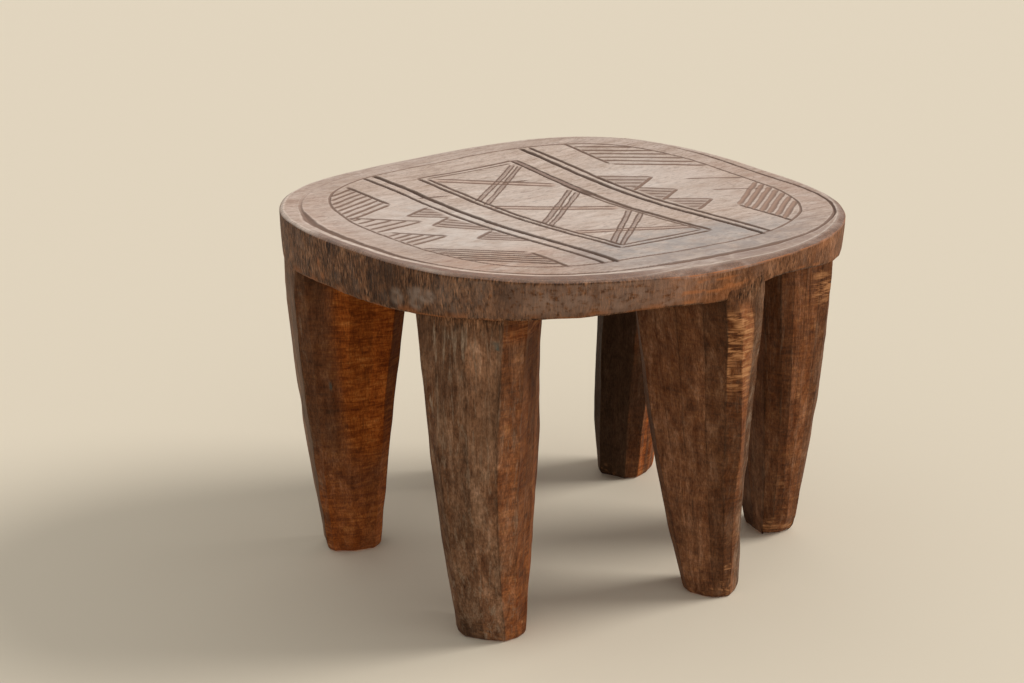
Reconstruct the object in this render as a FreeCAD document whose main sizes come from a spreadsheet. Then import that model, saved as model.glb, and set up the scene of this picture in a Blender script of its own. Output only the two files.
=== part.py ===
import FreeCAD, Part
import math
import os
import Sketcher

# Carved six-legged stool, millimetres, +Z up, origin on the floor under the middle of the seat.
# The front of the seat faces -Y and its long way runs along X.

# Driving sizes of the seat
SEAT_SIZES = {
    "StoolHeight": 284,
    "SeatWidth": 422,
    "SeatDepth": 406,
    "SeatThickness": 26,
    "SideBow": 560,
    "EndBow": 384,
    "CornerBackRight": 165,
    "CornerBackLeft": 160,
    "CornerFrontLeft": 95,
    "CornerFrontRight": 160,
    "DishDepth": 4,
    "TemplateMargin": 9,
    "RimBevel": 4,
}

# The top is hollowed to five templates that stand across the seat, from front to back. Each row says
# how high a template's left end, middle and right end are over the lowest place of the dish.
TEMPLATE_COLUMNS = ("Left", "Middle", "Right")
TEMPLATE_ROWS = {
    "front": (6, 2, 2.5),
    "mid_front": (10, 3.7, 5.5),
    "middle": (6, 0, 5.8),
    "mid_back": (6.6, 3.4, 15.7),
    "back": (1, 3, 24.5),
}

# The main lines cut into the top: two rings that follow the outline, two double bands from front to
# back, and a panel between them with three crosses
LINE_SIZES = {
    "LineDepth": 1.6,
    "LineWidth": 3,
    "RingInset": 15,
    "BorderInset": 39,
    "BandReach": 154,
    "BandInner": 71,
    "BandOuter": 81,
    "PanelWidth": 92,
    "PanelDepth": 264,
    "CrossStep": 84,
    "CrossWidth": 76,
    "CrossDepth": 66,
}
CROSS_COUNT = 3

# Sizes that all legs share: where the belly begins, and the flats hewn along the four arrises
LEG_SIZES = {
    "KneeHeight": 90,
    "ArrisTop": 11,
    "ArrisKnee": 9,
    "ArrisFoot": 6,
}

# Each leg is hewn by eye, so each has its own row. Turn is the way its foot looks outward and Twist
# how far its top is turned on from there. The insets say how far the foot stands in from the seat's
# side and end. Reach and Back are measured out and in from the foot's middle, Lean is how far the top
# stands to one side of the foot, and Spread is how much wider the back of the top is on that side.
LEG_COLUMNS = (
    "Turn", "Twist", "SideInset", "EndInset",
    "ReachTop", "ReachKnee", "ReachFoot",
    "BackTop", "BackKnee", "BackFoot",
    "WidthTop", "WidthKnee", "WidthFoot", "Lean", "Spread",
)
LEG_ROWS = {
    "front_left": (-139, 3.5, 76.5, 101, 61, 42, 18, 28, 36, 17, 76, 55, 45, -4.5, 0),
    "front_middle": (-55, -26, 164, 64, 62, 27, 19.5, 44, 36, 17.5, 45, 32, 34, -38.5, 32),
    "front_right": (-8.5, -5.5, 47, 123, 36, 19.5, 15.5, 34, 25.5, 15.5, 83, 69, 38, 5, 0),
    "back_right": (25, 4, 69, 115.5, 58.5, 31.5, 24, 34.5, 35, 23.5, 60, 50, 38, -16, 0),
    "back_middle": (90, 2, 184, 61, 63, 31, 21, 38, 34, 20, 66, 54, 38, -6, 8),
    "back_left": (157, 3, 69, 114, 50, 33, 21, 42, 28, 22, 80, 62, 31, 19.5, 0),
}

doc = FreeCAD.newDocument("carved_stool")
sheet = doc.addObject("Spreadsheet::Sheet", "Sizes")
sizes = {}


def add_size(alias, value):
    """Put one driving size on its own row of the sheet."""
    row = len(sizes) + 1
    sheet.set(f"A{row}", alias)
    sheet.set(f"B{row}", str(value))
    sheet.setAlias(f"B{row}", alias)
    sizes[alias] = value


def cell(alias):
    """Name a sheet cell inside an expression."""
    return f"Sizes.{alias}"


def row_alias(row, column):
    """Turn front_left and Turn into FrontLeftTurn."""
    return "".join(word.capitalize() for word in row.split("_")) + column


for alias, value in {**SEAT_SIZES, **LINE_SIZES, **LEG_SIZES}.items():
    add_size(alias, value)
for template, row in TEMPLATE_ROWS.items():
    for column, value in zip(TEMPLATE_COLUMNS, row):
        add_size(row_alias(template, column), value)
for leg, row in LEG_ROWS.items():
    for column, value in zip(LEG_COLUMNS, row):
        add_size(row_alias(leg, column), value)
doc.recompute()

LEG_HEIGHT = f"({cell('StoolHeight')} - {cell('SeatThickness')})"
BLANK = f"({cell('SeatThickness')} + {cell('BackRight')})"


def origin_plane(body, role):
    """Find one of a body's own origin planes."""
    return [plane for plane in body.Origin.OriginFeatures if plane.Role == role][0]


def new_sketch(body, name, role):
    """Start a sketch on one of the body's origin planes."""
    sketch = body.newObject("Sketcher::SketchObject", name)
    sketch.AttachmentSupport = [(origin_plane(body, role), "")]
    sketch.MapMode = "FlatFace"
    return sketch


def drive(sketch, name, constraint, expression):
    """Add a constraint whose value follows the sheet."""
    index = sketch.addConstraint(constraint)
    sketch.renameConstraint(index, name)
    sketch.setExpression(f"Constraints.{name}", expression)


# Seat outline: four bowed sides joined by four corner arcs, all tangent
TOLERANCE = 1e-4

# Numbers by which a sketch knows the points of a curve and its own axes
POINT_WORDS = ("edge", "start", "end", "centre")
AXIS_WORDS = ("horizontal", "vertical")
START, END, CENTRE = (POINT_WORDS.index(word) for word in ("start", "end", "centre"))
H_AXIS, V_AXIS = (~AXIS_WORDS.index(word) for word in AXIS_WORDS)
ORIGIN = H_AXIS


def corner_centre(side, end, radius):
    """Middle of the corner arc that touches a side arc and an end arc from inside."""
    side_x = side * (sizes["SeatWidth"] / 2 - sizes["SideBow"])
    end_y = end * (sizes["SeatDepth"] / 2 - sizes["EndBow"])
    from_side = sizes["SideBow"] - radius
    from_end = sizes["EndBow"] - radius
    span = math.hypot(side_x, end_y)
    along = (from_side ** 2 - from_end ** 2 + span ** 2) / (2 * span)
    across = math.sqrt(from_side ** 2 - along ** 2)
    unit_x, unit_y = -side_x / span, end_y / span
    found = []
    for turn in (1, -1):
        x = side_x + along * unit_x - turn * across * unit_y
        y = along * unit_y + turn * across * unit_x
        found.append((x, y))
    return max(found, key=lambda point: side * point[0] + end * point[1])


def outline_arcs():
    """The eight arcs, counter-clockwise from the right side, as centre, radius name and ends."""
    half_width, half_depth = sizes["SeatWidth"] / 2, sizes["SeatDepth"] / 2
    sides = {1: (half_width - sizes["SideBow"], 0), -1: (sizes["SideBow"] - half_width, 0)}
    ends = {1: (0, half_depth - sizes["EndBow"]), -1: (0, sizes["EndBow"] - half_depth)}
    corners = (
        ("CornerBackRight", 1, 1),
        ("CornerBackLeft", -1, 1),
        ("CornerFrontLeft", -1, -1),
        ("CornerFrontRight", 1, -1),
    )
    centres = {name: corner_centre(side, end, sizes[name]) for name, side, end in corners}

    def angle(start, stop):
        return math.atan2(stop[1] - start[1], stop[0] - start[0])

    side_angle = {name: angle(sides[side], centres[name]) for name, side, end in corners}
    end_angle = {name: angle(ends[end], centres[name]) for name, side, end in corners}
    back_right, back_left, front_left, front_right = (corner[0] for corner in corners)
    return (
        (sides[1], "SideBow", side_angle[front_right], side_angle[back_right]),
        (centres[back_right], back_right, side_angle[back_right], end_angle[back_right]),
        (ends[1], "EndBow", end_angle[back_right], end_angle[back_left]),
        (centres[back_left], back_left, end_angle[back_left], side_angle[back_left]),
        (sides[-1], "SideBow", side_angle[back_left], side_angle[front_left]),
        (centres[front_left], front_left, side_angle[front_left], end_angle[front_left]),
        (ends[-1], "EndBow", end_angle[front_left], end_angle[front_right]),
        (centres[front_right], front_right, end_angle[front_right], side_angle[front_right]),
    )


def draw_outline(sketch):
    """Draw the seat's outline and tie every arc to the sheet."""
    up = FreeCAD.Vector(0, 0, 1)
    arcs = outline_arcs()
    for centre, radius, start, stop in arcs:
        circle = Part.Circle(FreeCAD.Vector(*centre, 0), up, sizes[radius])
        sketch.addGeometry(Part.ArcOfCircle(circle, start, stop), False)
    for index in range(len(arcs)):
        following = (index + 1) % len(arcs)
        sketch.addConstraint(Sketcher.Constraint("Tangent", index, END, following, START))
    for index, axis in ((0, H_AXIS), (4, H_AXIS), (2, V_AXIS), (6, V_AXIS)):
        sketch.addConstraint(Sketcher.Constraint("PointOnObject", index, CENTRE, axis))
    for index, (centre, radius, start, stop) in enumerate(arcs):
        constraint = Sketcher.Constraint("Radius", index, sizes[radius])
        drive(sketch, f"Radius{index}", constraint, cell(radius))
    side_shift = sizes["SideBow"] - sizes["SeatWidth"] / 2
    end_shift = sizes["EndBow"] - sizes["SeatDepth"] / 2
    side_cell = f"{cell('SideBow')} - {cell('SeatWidth')} / 2"
    end_cell = f"{cell('EndBow')} - {cell('SeatDepth')} / 2"
    right = Sketcher.Constraint("DistanceX", 0, CENTRE, ORIGIN, START, side_shift)
    left = Sketcher.Constraint("DistanceX", ORIGIN, START, 4, CENTRE, side_shift)
    back = Sketcher.Constraint("DistanceY", 2, CENTRE, ORIGIN, START, end_shift)
    front = Sketcher.Constraint("DistanceY", ORIGIN, START, 6, CENTRE, end_shift)
    drive(sketch, "RightSide", right, side_cell)
    drive(sketch, "LeftSide", left, side_cell)
    drive(sketch, "BackEnd", back, end_cell)
    drive(sketch, "FrontEnd", front, end_cell)


# Seat: the bowed slab, its top hollowed to a saddle that lifts at two corners, its upper edge bevelled
def make_seat():
    body = doc.addObject("PartDesign::Body", "SeatBody")
    body.setExpression("Placement.Base.z", LEG_HEIGHT)
    outline = new_sketch(body, "SeatOutline", "XY_Plane")
    draw_outline(outline)
    slab = body.newObject("PartDesign::Pad", "SeatSlab")
    slab.Profile = outline
    slab.setExpression("Length", BLANK)
    doc.recompute()

    templates = []
    last = len(TEMPLATE_ROWS) - 1
    for index, row in enumerate(TEMPLATE_ROWS):
        share = 2 * index / last - 1
        sketch = new_sketch(body, f"Template{row_alias(row, '')}", "XZ_Plane")
        place = f"{-share} * ({cell('SeatDepth')} / 2 + {cell('TemplateMargin')})"
        sketch.setExpression("AttachmentOffset.Base.z", place)
        draw_template(sketch, row)
        templates.append(sketch)
    hollow = body.newObject("PartDesign::SubtractiveLoft", "Hollow")
    hollow.Profile = templates[0]
    hollow.Sections = templates[1:]
    hollow.Ruled = False
    doc.recompute()
    if hollow.Shape.Volume >= slab.Shape.Volume:
        raise RuntimeError("the templates hollow nothing")

    rim_edges = []
    for number, edge in enumerate(hollow.Shape.Edges, 1):
        lowest = min(vertex.Point.z for vertex in edge.Vertexes)
        if lowest > sizes["SeatThickness"] / 2:
            rim_edges.append(f"Edge{number}")
    bevel = body.newObject("PartDesign::Chamfer", "RimBevel")
    bevel.Base = (hollow, rim_edges)
    bevel.setExpression("Size", cell("RimBevel"))

    carved = doc.addObject("Part::Cut", "CarvedSeat")
    carved.Base = body
    carved.Tool = make_lines()
    carved.Label = "seat"
    return carved


def draw_template(sketch, row):
    """One template: an arc through its three heights, closed by straight sides and a lid."""
    span = sizes["SeatWidth"] / 2 + sizes["TemplateMargin"]
    lowest = sizes["SeatThickness"] - sizes["DishDepth"]
    left, middle, right = (lowest + sizes[row_alias(row, column)] for column in TEMPLATE_COLUMNS)
    lid = sizes["SeatThickness"] + sizes["BackRight"] + sizes["TemplateMargin"]
    corners = [(-span, left), (span, right), (span, lid), (-span, lid)]
    low_left, low_right, high_right, high_left = (FreeCAD.Vector(x, y, 0) for x, y in corners)
    through = FreeCAD.Vector(0, middle, 0)
    sketch.addGeometry(Part.Arc(low_left, through, low_right), False)
    sketch.addGeometry(Part.LineSegment(low_right, high_right), False)
    sketch.addGeometry(Part.LineSegment(high_right, high_left), False)
    sketch.addGeometry(Part.LineSegment(high_left, low_left), False)
    sketch.addGeometry(Part.Point(through), True)
    for index in range(4):
        sketch.addConstraint(Sketcher.Constraint("Coincident", index, END, (index + 1) % 4, START))
    sketch.addConstraint(Sketcher.Constraint("Vertical", 1))
    sketch.addConstraint(Sketcher.Constraint("Horizontal", 2))
    sketch.addConstraint(Sketcher.Constraint("Vertical", 3))
    sketch.addConstraint(Sketcher.Constraint("PointOnObject", 4, START, V_AXIS))
    sketch.addConstraint(Sketcher.Constraint("PointOnObject", 4, START, 0))
    span_cell = f"{cell('SeatWidth')} / 2 + {cell('TemplateMargin')}"
    lowest_cell = f"{cell('SeatThickness')} - {cell('DishDepth')}"
    left_cell, middle_cell, right_cell = (
        f"{lowest_cell} + {cell(row_alias(row, column))}" for column in TEMPLATE_COLUMNS
    )
    drive(sketch, "LeftSpan", Sketcher.Constraint("DistanceX", 0, START, ORIGIN, START, span), span_cell)
    drive(sketch, "RightSpan", Sketcher.Constraint("DistanceX", ORIGIN, START, 0, END, span), span_cell)
    drive(sketch, "LeftRise", Sketcher.Constraint("DistanceY", ORIGIN, START, 0, START, left), left_cell)
    drive(sketch, "RightRise", Sketcher.Constraint("DistanceY", ORIGIN, START, 0, END, right), right_cell)
    drive(sketch, "MiddleRise", Sketcher.Constraint("DistanceY", ORIGIN, START, 4, START, middle), middle_cell)
    lid_cell = f"{BLANK} + {cell('TemplateMargin')}"
    drive(sketch, "Lid", Sketcher.Constraint("DistanceY", ORIGIN, START, 1, END, lid), lid_cell)


# Incised lines: the hollow's own surface, sunk by the depth of a cut and kept only along the lines
def make_lines():
    templates = []
    last = len(TEMPLATE_ROWS) - 1
    for index, row in enumerate(TEMPLATE_ROWS):
        share = 2 * index / last - 1
        sketch = doc.addObject("Sketcher::SketchObject", f"Sunk{row_alias(row, '')}")
        upright = FreeCAD.Rotation(FreeCAD.Vector(1, 0, 0), 90)
        sketch.Placement = FreeCAD.Placement(FreeCAD.Vector(0, 0, 0), upright)
        place = f"{share} * ({cell('SeatDepth')} / 2 + {cell('TemplateMargin')})"
        sketch.setExpression("Placement.Base.y", place)
        sketch.setExpression("Placement.Base.z", f"{LEG_HEIGHT} - {cell('LineDepth')}")
        draw_template(sketch, row)
        templates.append(sketch)
    sunk = doc.addObject("Part::Loft", "SunkHollow")
    sunk.Sections = templates
    sunk.Solid = True
    sunk.Ruled = False

    plan = doc.addObject("Part::MultiFuse", "LinePlan")
    plan.Shapes = [raise_plan(face) for face in line_faces()]
    lines = doc.addObject("Part::Common", "Lines")
    lines.Base = sunk
    lines.Tool = plan
    return lines


def raise_plan(face):
    """Raise a flat plan through the whole height of the seat."""
    solid = doc.addObject("Part::Extrusion", f"{face.Name}Raised")
    solid.Base = face
    solid.DirMode = "Normal"
    solid.Solid = True
    solid.FaceMakerClass = "Part::FaceMakerBullseye"
    solid.setExpression("LengthFwd", f"{LEG_HEIGHT} + {BLANK}")
    return solid


def line_faces():
    """Plans of all lines: rings that follow the outline, bands with the panel, and the crosses."""
    outline = doc.addObject("Sketcher::SketchObject", "LineOutline")
    draw_outline(outline)
    faces = []
    for ring in ("Ring", "Border"):
        curve = doc.addObject("Part::Offset2D", f"{ring}Curve")
        curve.Source = outline
        curve.setExpression("Value", f"-{cell(ring + 'Inset')}")
        strip = doc.addObject("Part::Offset2D", f"{ring}Strip")
        strip.Source = curve
        strip.Fill = True
        strip.setExpression("Value", f"-{cell('LineWidth')}")
        faces.append(strip)
    bands = doc.addObject("Sketcher::SketchObject", "Bands")
    line = f"{cell('LineWidth')} / 2"
    reach = cell("BandReach")
    for side in (-1, 1):
        for band in ("BandInner", "BandOuter"):
            near = f"{side} * {cell(band)} - {line}"
            far = f"{side} * {cell(band)} + {line}"
            draw_polygon(bands, ((near, f"-{reach}"), (far, f"-{reach}"), (far, reach), (near, reach)))
    for grow in (f"+ {line}", f"- {line}"):
        half_x = f"({cell('PanelWidth')} / 2 {grow})"
        half_y = f"({cell('PanelDepth')} / 2 {grow})"
        ends = ((f"-{half_x}", f"-{half_y}"), (half_x, f"-{half_y}"), (half_x, half_y), (f"-{half_x}", half_y))
        draw_polygon(bands, ends)
    faces.append(bands)
    for name, slope in (("Rising", 1), ("Falling", -1)):
        strokes = doc.addObject("Sketcher::SketchObject", f"{name}Strokes")
        half_x = f"{cell('CrossWidth')} / 2"
        half_y = f"{slope} * {cell('CrossDepth')} / 2"
        for index in range(CROSS_COUNT):
            middle = f"{index - (CROSS_COUNT - 1) / 2} * {cell('CrossStep')}"
            low, high = f"{middle} - {half_y}", f"{middle} + {half_y}"
            draw_polygon(strokes, (
                (f"-{half_x}", f"{low} - {line}"), (half_x, f"{high} - {line}"),
                (half_x, f"{high} + {line}"), (f"-{half_x}", f"{low} + {line}"),
            ))
        faces.append(strokes)
    return faces


def draw_polygon(sketch, corners):
    """A closed run of straight lines; each corner is a pair of expressions."""
    points = []
    for pair in corners:
        points.append(FreeCAD.Vector(*(float(sheet.evalExpression(text)) for text in pair), 0))
    first = sketch.GeometryCount
    count = len(points)
    for index in range(count):
        sketch.addGeometry(Part.LineSegment(points[index], points[(index + 1) % count]), False)
    for index in range(count):
        sketch.addConstraint(
            Sketcher.Constraint("Coincident", first + index, END, first + (index + 1) % count, START)
        )
    for index, (point, pair) in enumerate(zip(points, corners)):
        number = first + index
        across = Sketcher.Constraint("DistanceX", ORIGIN, START, number, START, point.x)
        along = Sketcher.Constraint("DistanceY", ORIGIN, START, number, START, point.y)
        drive(sketch, f"Across{number}", across, pair[0])
        drive(sketch, f"Along{number}", along, pair[1])


# Legs: four-sided posts with hewn arrises, swelling from the foot through the knee to the seat
def draw_section(sketch, reach, back, width, arris, shift, spread):
    """An eight-sided section; each size is a pair of value and expression."""
    out, inward = reach[0], back[0]
    half = width[0] / 2
    flat = arris[0]
    side = shift[0]
    half_cell = f"{width[1]} / 2"
    right_flat = f"{half_cell} - {arris[1]} + {shift[1]}"
    left_flat = f"{half_cell} - {arris[1]} - ({shift[1]})"
    right_edge = f"{half_cell} + {shift[1]}"
    far_flat = f"{right_flat} + {spread[1]}"
    far_edge = f"{right_edge} + {spread[1]}"
    left_edge = f"{half_cell} - ({shift[1]})"
    out_flat = f"{reach[1]} - {arris[1]}"
    in_flat = f"{back[1]} - {arris[1]}"
    points = (
        (out, side - half + flat, reach[1], left_flat),
        (out, side + half - flat, reach[1], right_flat),
        (out - flat, side + half, out_flat, right_edge),
        (flat - inward, side + half + spread[0], in_flat, far_edge),
        (-inward, side + half - flat + spread[0], back[1], far_flat),
        (-inward, side - half + flat, back[1], left_flat),
        (flat - inward, side - half, in_flat, left_edge),
        (out - flat, side - half, out_flat, left_edge),
    )
    count = len(points)
    for index in range(count):
        start = FreeCAD.Vector(*points[index][:2], 0)
        stop = FreeCAD.Vector(*points[(index + 1) % count][:2], 0)
        sketch.addGeometry(Part.LineSegment(start, stop), False)
    for index in range(count):
        following = (index + 1) % count
        sketch.addConstraint(Sketcher.Constraint("Coincident", index, END, following, START))
    for index, (x, y, x_cell, y_cell) in enumerate(points):
        outward = index in (0, 1, 2, 7)
        rightward = index in (1, 2, 3, 4)
        if outward:
            across = Sketcher.Constraint("DistanceX", ORIGIN, START, index, START, x)
        else:
            across = Sketcher.Constraint("DistanceX", index, START, ORIGIN, START, -x)
        if rightward:
            along = Sketcher.Constraint("DistanceY", ORIGIN, START, index, START, y)
        else:
            along = Sketcher.Constraint("DistanceY", index, START, ORIGIN, START, -y)
        drive(sketch, f"Across{index}", across, x_cell)
        drive(sketch, f"Along{index}", along, y_cell)


def make_leg(leg, side, end, block):
    """One leg: lofted through foot, knee and top, then trimmed flush with the seat's wall."""
    title = "".join(word.capitalize() for word in leg.split("_"))

    def size(column):
        alias = row_alias(leg, column)
        return sizes[alias], cell(alias)

    body = doc.addObject("PartDesign::Body", f"{title}Body")
    side_place = f"{side} * ({cell('SeatWidth')} / 2 - {size('SideInset')[1]})"
    end_place = f"{end} * ({cell('SeatDepth')} / 2 - {size('EndInset')[1]})"
    body.Placement = FreeCAD.Placement(
        FreeCAD.Vector(0, 0, 0), FreeCAD.Rotation(FreeCAD.Vector(0, 0, 1), size("Turn")[0])
    )
    body.setExpression("Placement.Base.x", side_place)
    body.setExpression("Placement.Base.y", end_place)
    body.setExpression("Placement.Rotation.Angle", f"{size('Turn')[1]} * 1 deg")

    leg_height = sizes["StoolHeight"] - sizes["SeatThickness"]
    knee_share = sizes["KneeHeight"] / leg_height
    lean, lean_cell = size("Lean")
    knee_share_cell = f"{cell('KneeHeight')} / {LEG_HEIGHT}"
    stations = (
        ("Foot", "0", 0, "0"),
        ("Knee", cell("KneeHeight"), knee_share, knee_share_cell),
        ("Top", LEG_HEIGHT, 1, "1"),
    )
    sections = []
    for station, height, share, share_cell in stations:
        sketch = new_sketch(body, f"{title}{station}", "XY_Plane")
        twist, twist_cell = size("Twist")
        turned = FreeCAD.Rotation(FreeCAD.Vector(0, 0, 1), twist * share)
        sketch.AttachmentOffset = FreeCAD.Placement(FreeCAD.Vector(0, 0, 0), turned)
        sketch.setExpression("AttachmentOffset.Base.z", height)
        sketch.setExpression("AttachmentOffset.Rotation.Angle", f"{twist_cell} * {share_cell} * 1 deg")
        shift = (lean * share, f"{lean_cell} * {share_cell}")
        arris = (sizes[f"Arris{station}"], cell(f"Arris{station}"))
        reach, back, width = (size(f"{word}{station}") for word in ("Reach", "Back", "Width"))
        spread = (size("Spread")[0] * share, f"{size('Spread')[1]} * {share_cell}")
        draw_section(sketch, reach, back, width, arris, shift, spread)
        sections.append(sketch)
    loft = body.newObject("PartDesign::AdditiveLoft", f"{title}Loft")
    loft.Profile = sections[0]
    loft.Sections = sections[1:]
    loft.Ruled = False

    trimmed = doc.addObject("Part::Common", f"{title}Leg")
    trimmed.Base = body
    trimmed.Tool = block
    trimmed.Label = f"leg_{leg}"
    return trimmed


# Block: the timber under the seat, as wide as its outline, that the legs were cut from
def make_block():
    outline = doc.addObject("Sketcher::SketchObject", "BlockOutline")
    draw_outline(outline)
    block = doc.addObject("Part::Extrusion", "Block")
    block.Base = outline
    block.DirMode = "Normal"
    block.Solid = True
    block.setExpression("LengthFwd", LEG_HEIGHT)
    return block


seat = make_seat()
block = make_block()
sides = {"left": -1, "middle": 1, "right": 1}
ends = {"front": -1, "back": 1}
legs = []
for leg in LEG_ROWS:
    end_word, side_word = leg.split("_")
    legs.append(make_leg(leg, sides[side_word], ends[end_word], block))
doc.recompute()

# Every object must have built, and every sub-part must be one valid solid
for item in doc.Objects:
    if "Invalid" in item.State or "Error" in item.State:
        raise RuntimeError(f"{item.Label} failed to build: {item.State}")
for item in [seat] + legs:
    if item.Shape.isNull() or not item.Shape.isValid():
        raise RuntimeError(f"{item.Label} has no valid shape")
    if len(item.Shape.Solids) != 1:
        raise RuntimeError(f"{item.Label} is not one solid")

os.makedirs("parts", exist_ok=True)
for item in [seat] + legs:
    item.Shape.exportStep(os.path.join("parts", f"{item.Label}.step"))
    box = item.Shape.optimalBoundingBox(False)
    print(f"{item.Label}: {box.XLength:.1f} x {box.YLength:.1f} x {box.ZLength:.1f} mm, "
          f"{item.Shape.Volume / 1000:.1f} cm3, {len(item.Shape.Faces)} faces")
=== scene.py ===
import math

import bpy
import numpy as np
from mathutils import Matrix, Vector


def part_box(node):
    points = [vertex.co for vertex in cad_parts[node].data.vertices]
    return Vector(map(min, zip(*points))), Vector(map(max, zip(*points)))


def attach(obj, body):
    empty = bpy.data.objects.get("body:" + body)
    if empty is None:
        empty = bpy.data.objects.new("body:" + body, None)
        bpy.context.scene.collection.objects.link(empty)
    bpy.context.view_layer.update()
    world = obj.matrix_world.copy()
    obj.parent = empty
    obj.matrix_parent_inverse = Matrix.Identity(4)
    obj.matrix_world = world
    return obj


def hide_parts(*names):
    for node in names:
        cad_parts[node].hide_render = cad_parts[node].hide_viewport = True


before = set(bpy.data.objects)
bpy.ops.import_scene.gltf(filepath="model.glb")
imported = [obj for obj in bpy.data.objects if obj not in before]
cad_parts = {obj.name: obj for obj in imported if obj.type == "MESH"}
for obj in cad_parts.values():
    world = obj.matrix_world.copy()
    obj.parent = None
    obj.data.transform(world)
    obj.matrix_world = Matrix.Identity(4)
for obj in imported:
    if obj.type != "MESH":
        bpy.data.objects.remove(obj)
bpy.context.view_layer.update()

# Carved six-legged stool. Shapes are worked out in millimetres in the frame of the solids
# (front of the seat at -Y, long way along X) and scaled to metres when a mesh is made.
MM = 0.001

seat_low, seat_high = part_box("seat")
HALF_LONG = (seat_high.x - seat_low.x) / 2 / MM
HALF_DEEP = (seat_high.y - seat_low.y) / 2 / MM
LEG_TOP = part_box("leg_back_left")[1].z / MM
SEAT_THICKNESS = 26
RIM_LEVEL = LEG_TOP + SEAT_THICKNESS


# Noise and soft steps

def hashed(column, row, seed):
    """A fixed number from 0 to 1 for every lattice point."""
    mixed = (column * 374761393 + row * 668265263 + seed * 69069 + 12345) & 0xFFFFFFFF
    mixed = ((mixed ^ (mixed >> 13)) * 1274126177) & 0xFFFFFFFF
    return ((mixed ^ (mixed >> 16)) & 0xFFFF) / 0xFFFF


def noise(x, y, seed):
    """Smooth noise from -1 to 1 with features about one unit across."""
    x, y = np.broadcast_arrays(np.asarray(x, float), np.asarray(y, float))
    column, row = np.floor(x).astype(np.int64), np.floor(y).astype(np.int64)
    across, along = x - column, y - row
    across = across * across * (3 - 2 * across)
    along = along * along * (3 - 2 * along)
    near = hashed(column, row, seed) * (1 - across) + hashed(column + 1, row, seed) * across
    far = hashed(column, row + 1, seed) * (1 - across) + hashed(column + 1, row + 1, seed) * across
    return 2 * (near * (1 - along) + far * along) - 1


def mottled(x, y, seed):
    """Noise with several sizes of feature, turned so that no rows show."""
    total = 0
    for share, scale in ((0.55, 1.0), (0.3, 2.1), (0.2, 4.3)):
        total = total + share * noise(scale * (0.8 * x + 0.6 * y), scale * (0.8 * y - 0.6 * x), seed)
        seed += 1
    return total


def scoops(x, y, seed):
    """Overlapping shallow bowls, as an adze leaves them: 0 in the middle of a bowl, more at its ridges."""
    column, row = np.floor(x).astype(np.int64), np.floor(y).astype(np.int64)
    lowest = np.full(np.shape(x), 9.0)
    for step_x in (-1, 0, 1):
        for step_y in (-1, 0, 1):
            here_x, here_y = column + step_x, row + step_y
            middle_x = here_x + 0.2 + 0.6 * hashed(here_x, here_y, seed)
            middle_y = here_y + 0.2 + 0.6 * hashed(here_x, here_y, seed + 1)
            start = 0.2 * hashed(here_x, here_y, seed + 2)
            lowest = np.minimum(lowest, start + (x - middle_x) ** 2 + (y - middle_y) ** 2)
    return lowest


def step(value, low, high):
    """Soft step from 0 at low to 1 at high."""
    share = np.clip((value - low) / (high - low), 0, 1)
    return share * share * (3 - 2 * share)


def patch(x, y, middle, size):
    """A soft-edged oval spot, 1 in its middle."""
    away = np.hypot((x - middle[0]) / size[0], (y - middle[1]) / size[1])
    return 1 - step(away, 0.45, 1.0)


# Closed curves on the seat

class Ring:
    """A closed curve like an ellipse that is fuller or rounder in each quarter."""

    def __init__(self, centre, half, back_right, back_left, front_left, front_right):
        self.centre = centre
        self.half = half
        self.fullness = np.array((back_right, back_left, front_left, front_right))

    def radius(self, angle):
        quarter = np.floor(np.mod(angle, 2 * math.pi) / (math.pi / 2)).astype(int) % 4
        power = self.fullness[quarter]
        along = np.abs(np.cos(angle)) / self.half[0]
        across = np.abs(np.sin(angle)) / self.half[1]
        return (along ** power + across ** power) ** (-1 / power)

    def gap(self, x, y):
        """How far a point lies outside the curve."""
        out_x, out_y = x - self.centre[0], y - self.centre[1]
        return np.hypot(out_x, out_y) - self.radius(np.arctan2(out_y, out_x))

    def meet(self, start, way):
        """Where a straight cut from start along way runs into the curve."""
        low, high = 0.0, 2 * HALF_LONG
        for _ in range(40):
            middle = (low + high) / 2
            if self.gap(start[0] + way[0] * middle, start[1] + way[1] * middle) > 0:
                high = middle
            else:
                low = middle
        return (start[0] + way[0] * low, start[1] + way[1] * low)


OUTLINE = Ring((0, 0), (HALF_LONG, HALF_DEEP), 2.11, 2.3, 3.05, 2.34)
RIM_GROOVE = Ring((2.3, 3.8), (196.4, 185.7), 2.4, 2.3, 3.2, 2.75)
BORDER = Ring((9.3, 5), (171, 165), 2.43, 2.8, 4.5, 2.52)

# Underside of the rim: its height by angle in degrees, counter-clockwise from +X
RIM_FOOT = (
    (0, 260), (45, 262), (90, 258), (130, 254), (158, 248), (180, 252.5), (200, 255), (222, 260.5),
    (240, 262.5), (252, 262), (264, 257.5), (272, 257), (280, 267), (291, 265), (310, 257), (335, 259),
)
# How much higher the edge of the top stands, by angle
RIM_RISE = (
    (150, 0), (167, 3.1), (192, 3.6), (203, 2.2), (214, 1.1), (230, 1.8), (240, 1.9),
    (252, 1.3), (264, 0),
)
RISE_REACH = 13
RISE_INWARD = 16
# Stretches of the rim in degrees: where each begins, is full, starts to fade and ends.
# The edge is pared to a broad bevel, the strip outside the groove is brown or half as brown,
# and the groove widens to a hollow.
BROAD_BEVEL = (244, 262, 322, 346)
FRONT_STRIP = (204, 218, 322, 346)
LEFT_STRIP = (168, 182, 204, 218)
LEFT_HOLLOW = (152, 166, 194, 212)
RIGHT_HOLLOW = (250, 264, 286, 306)
DISH_DEPTH = 4
UNDER_MIDDLE = 256
FOOT_EDGE = 2.2
WALL_DRAFT = 1.6


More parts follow.
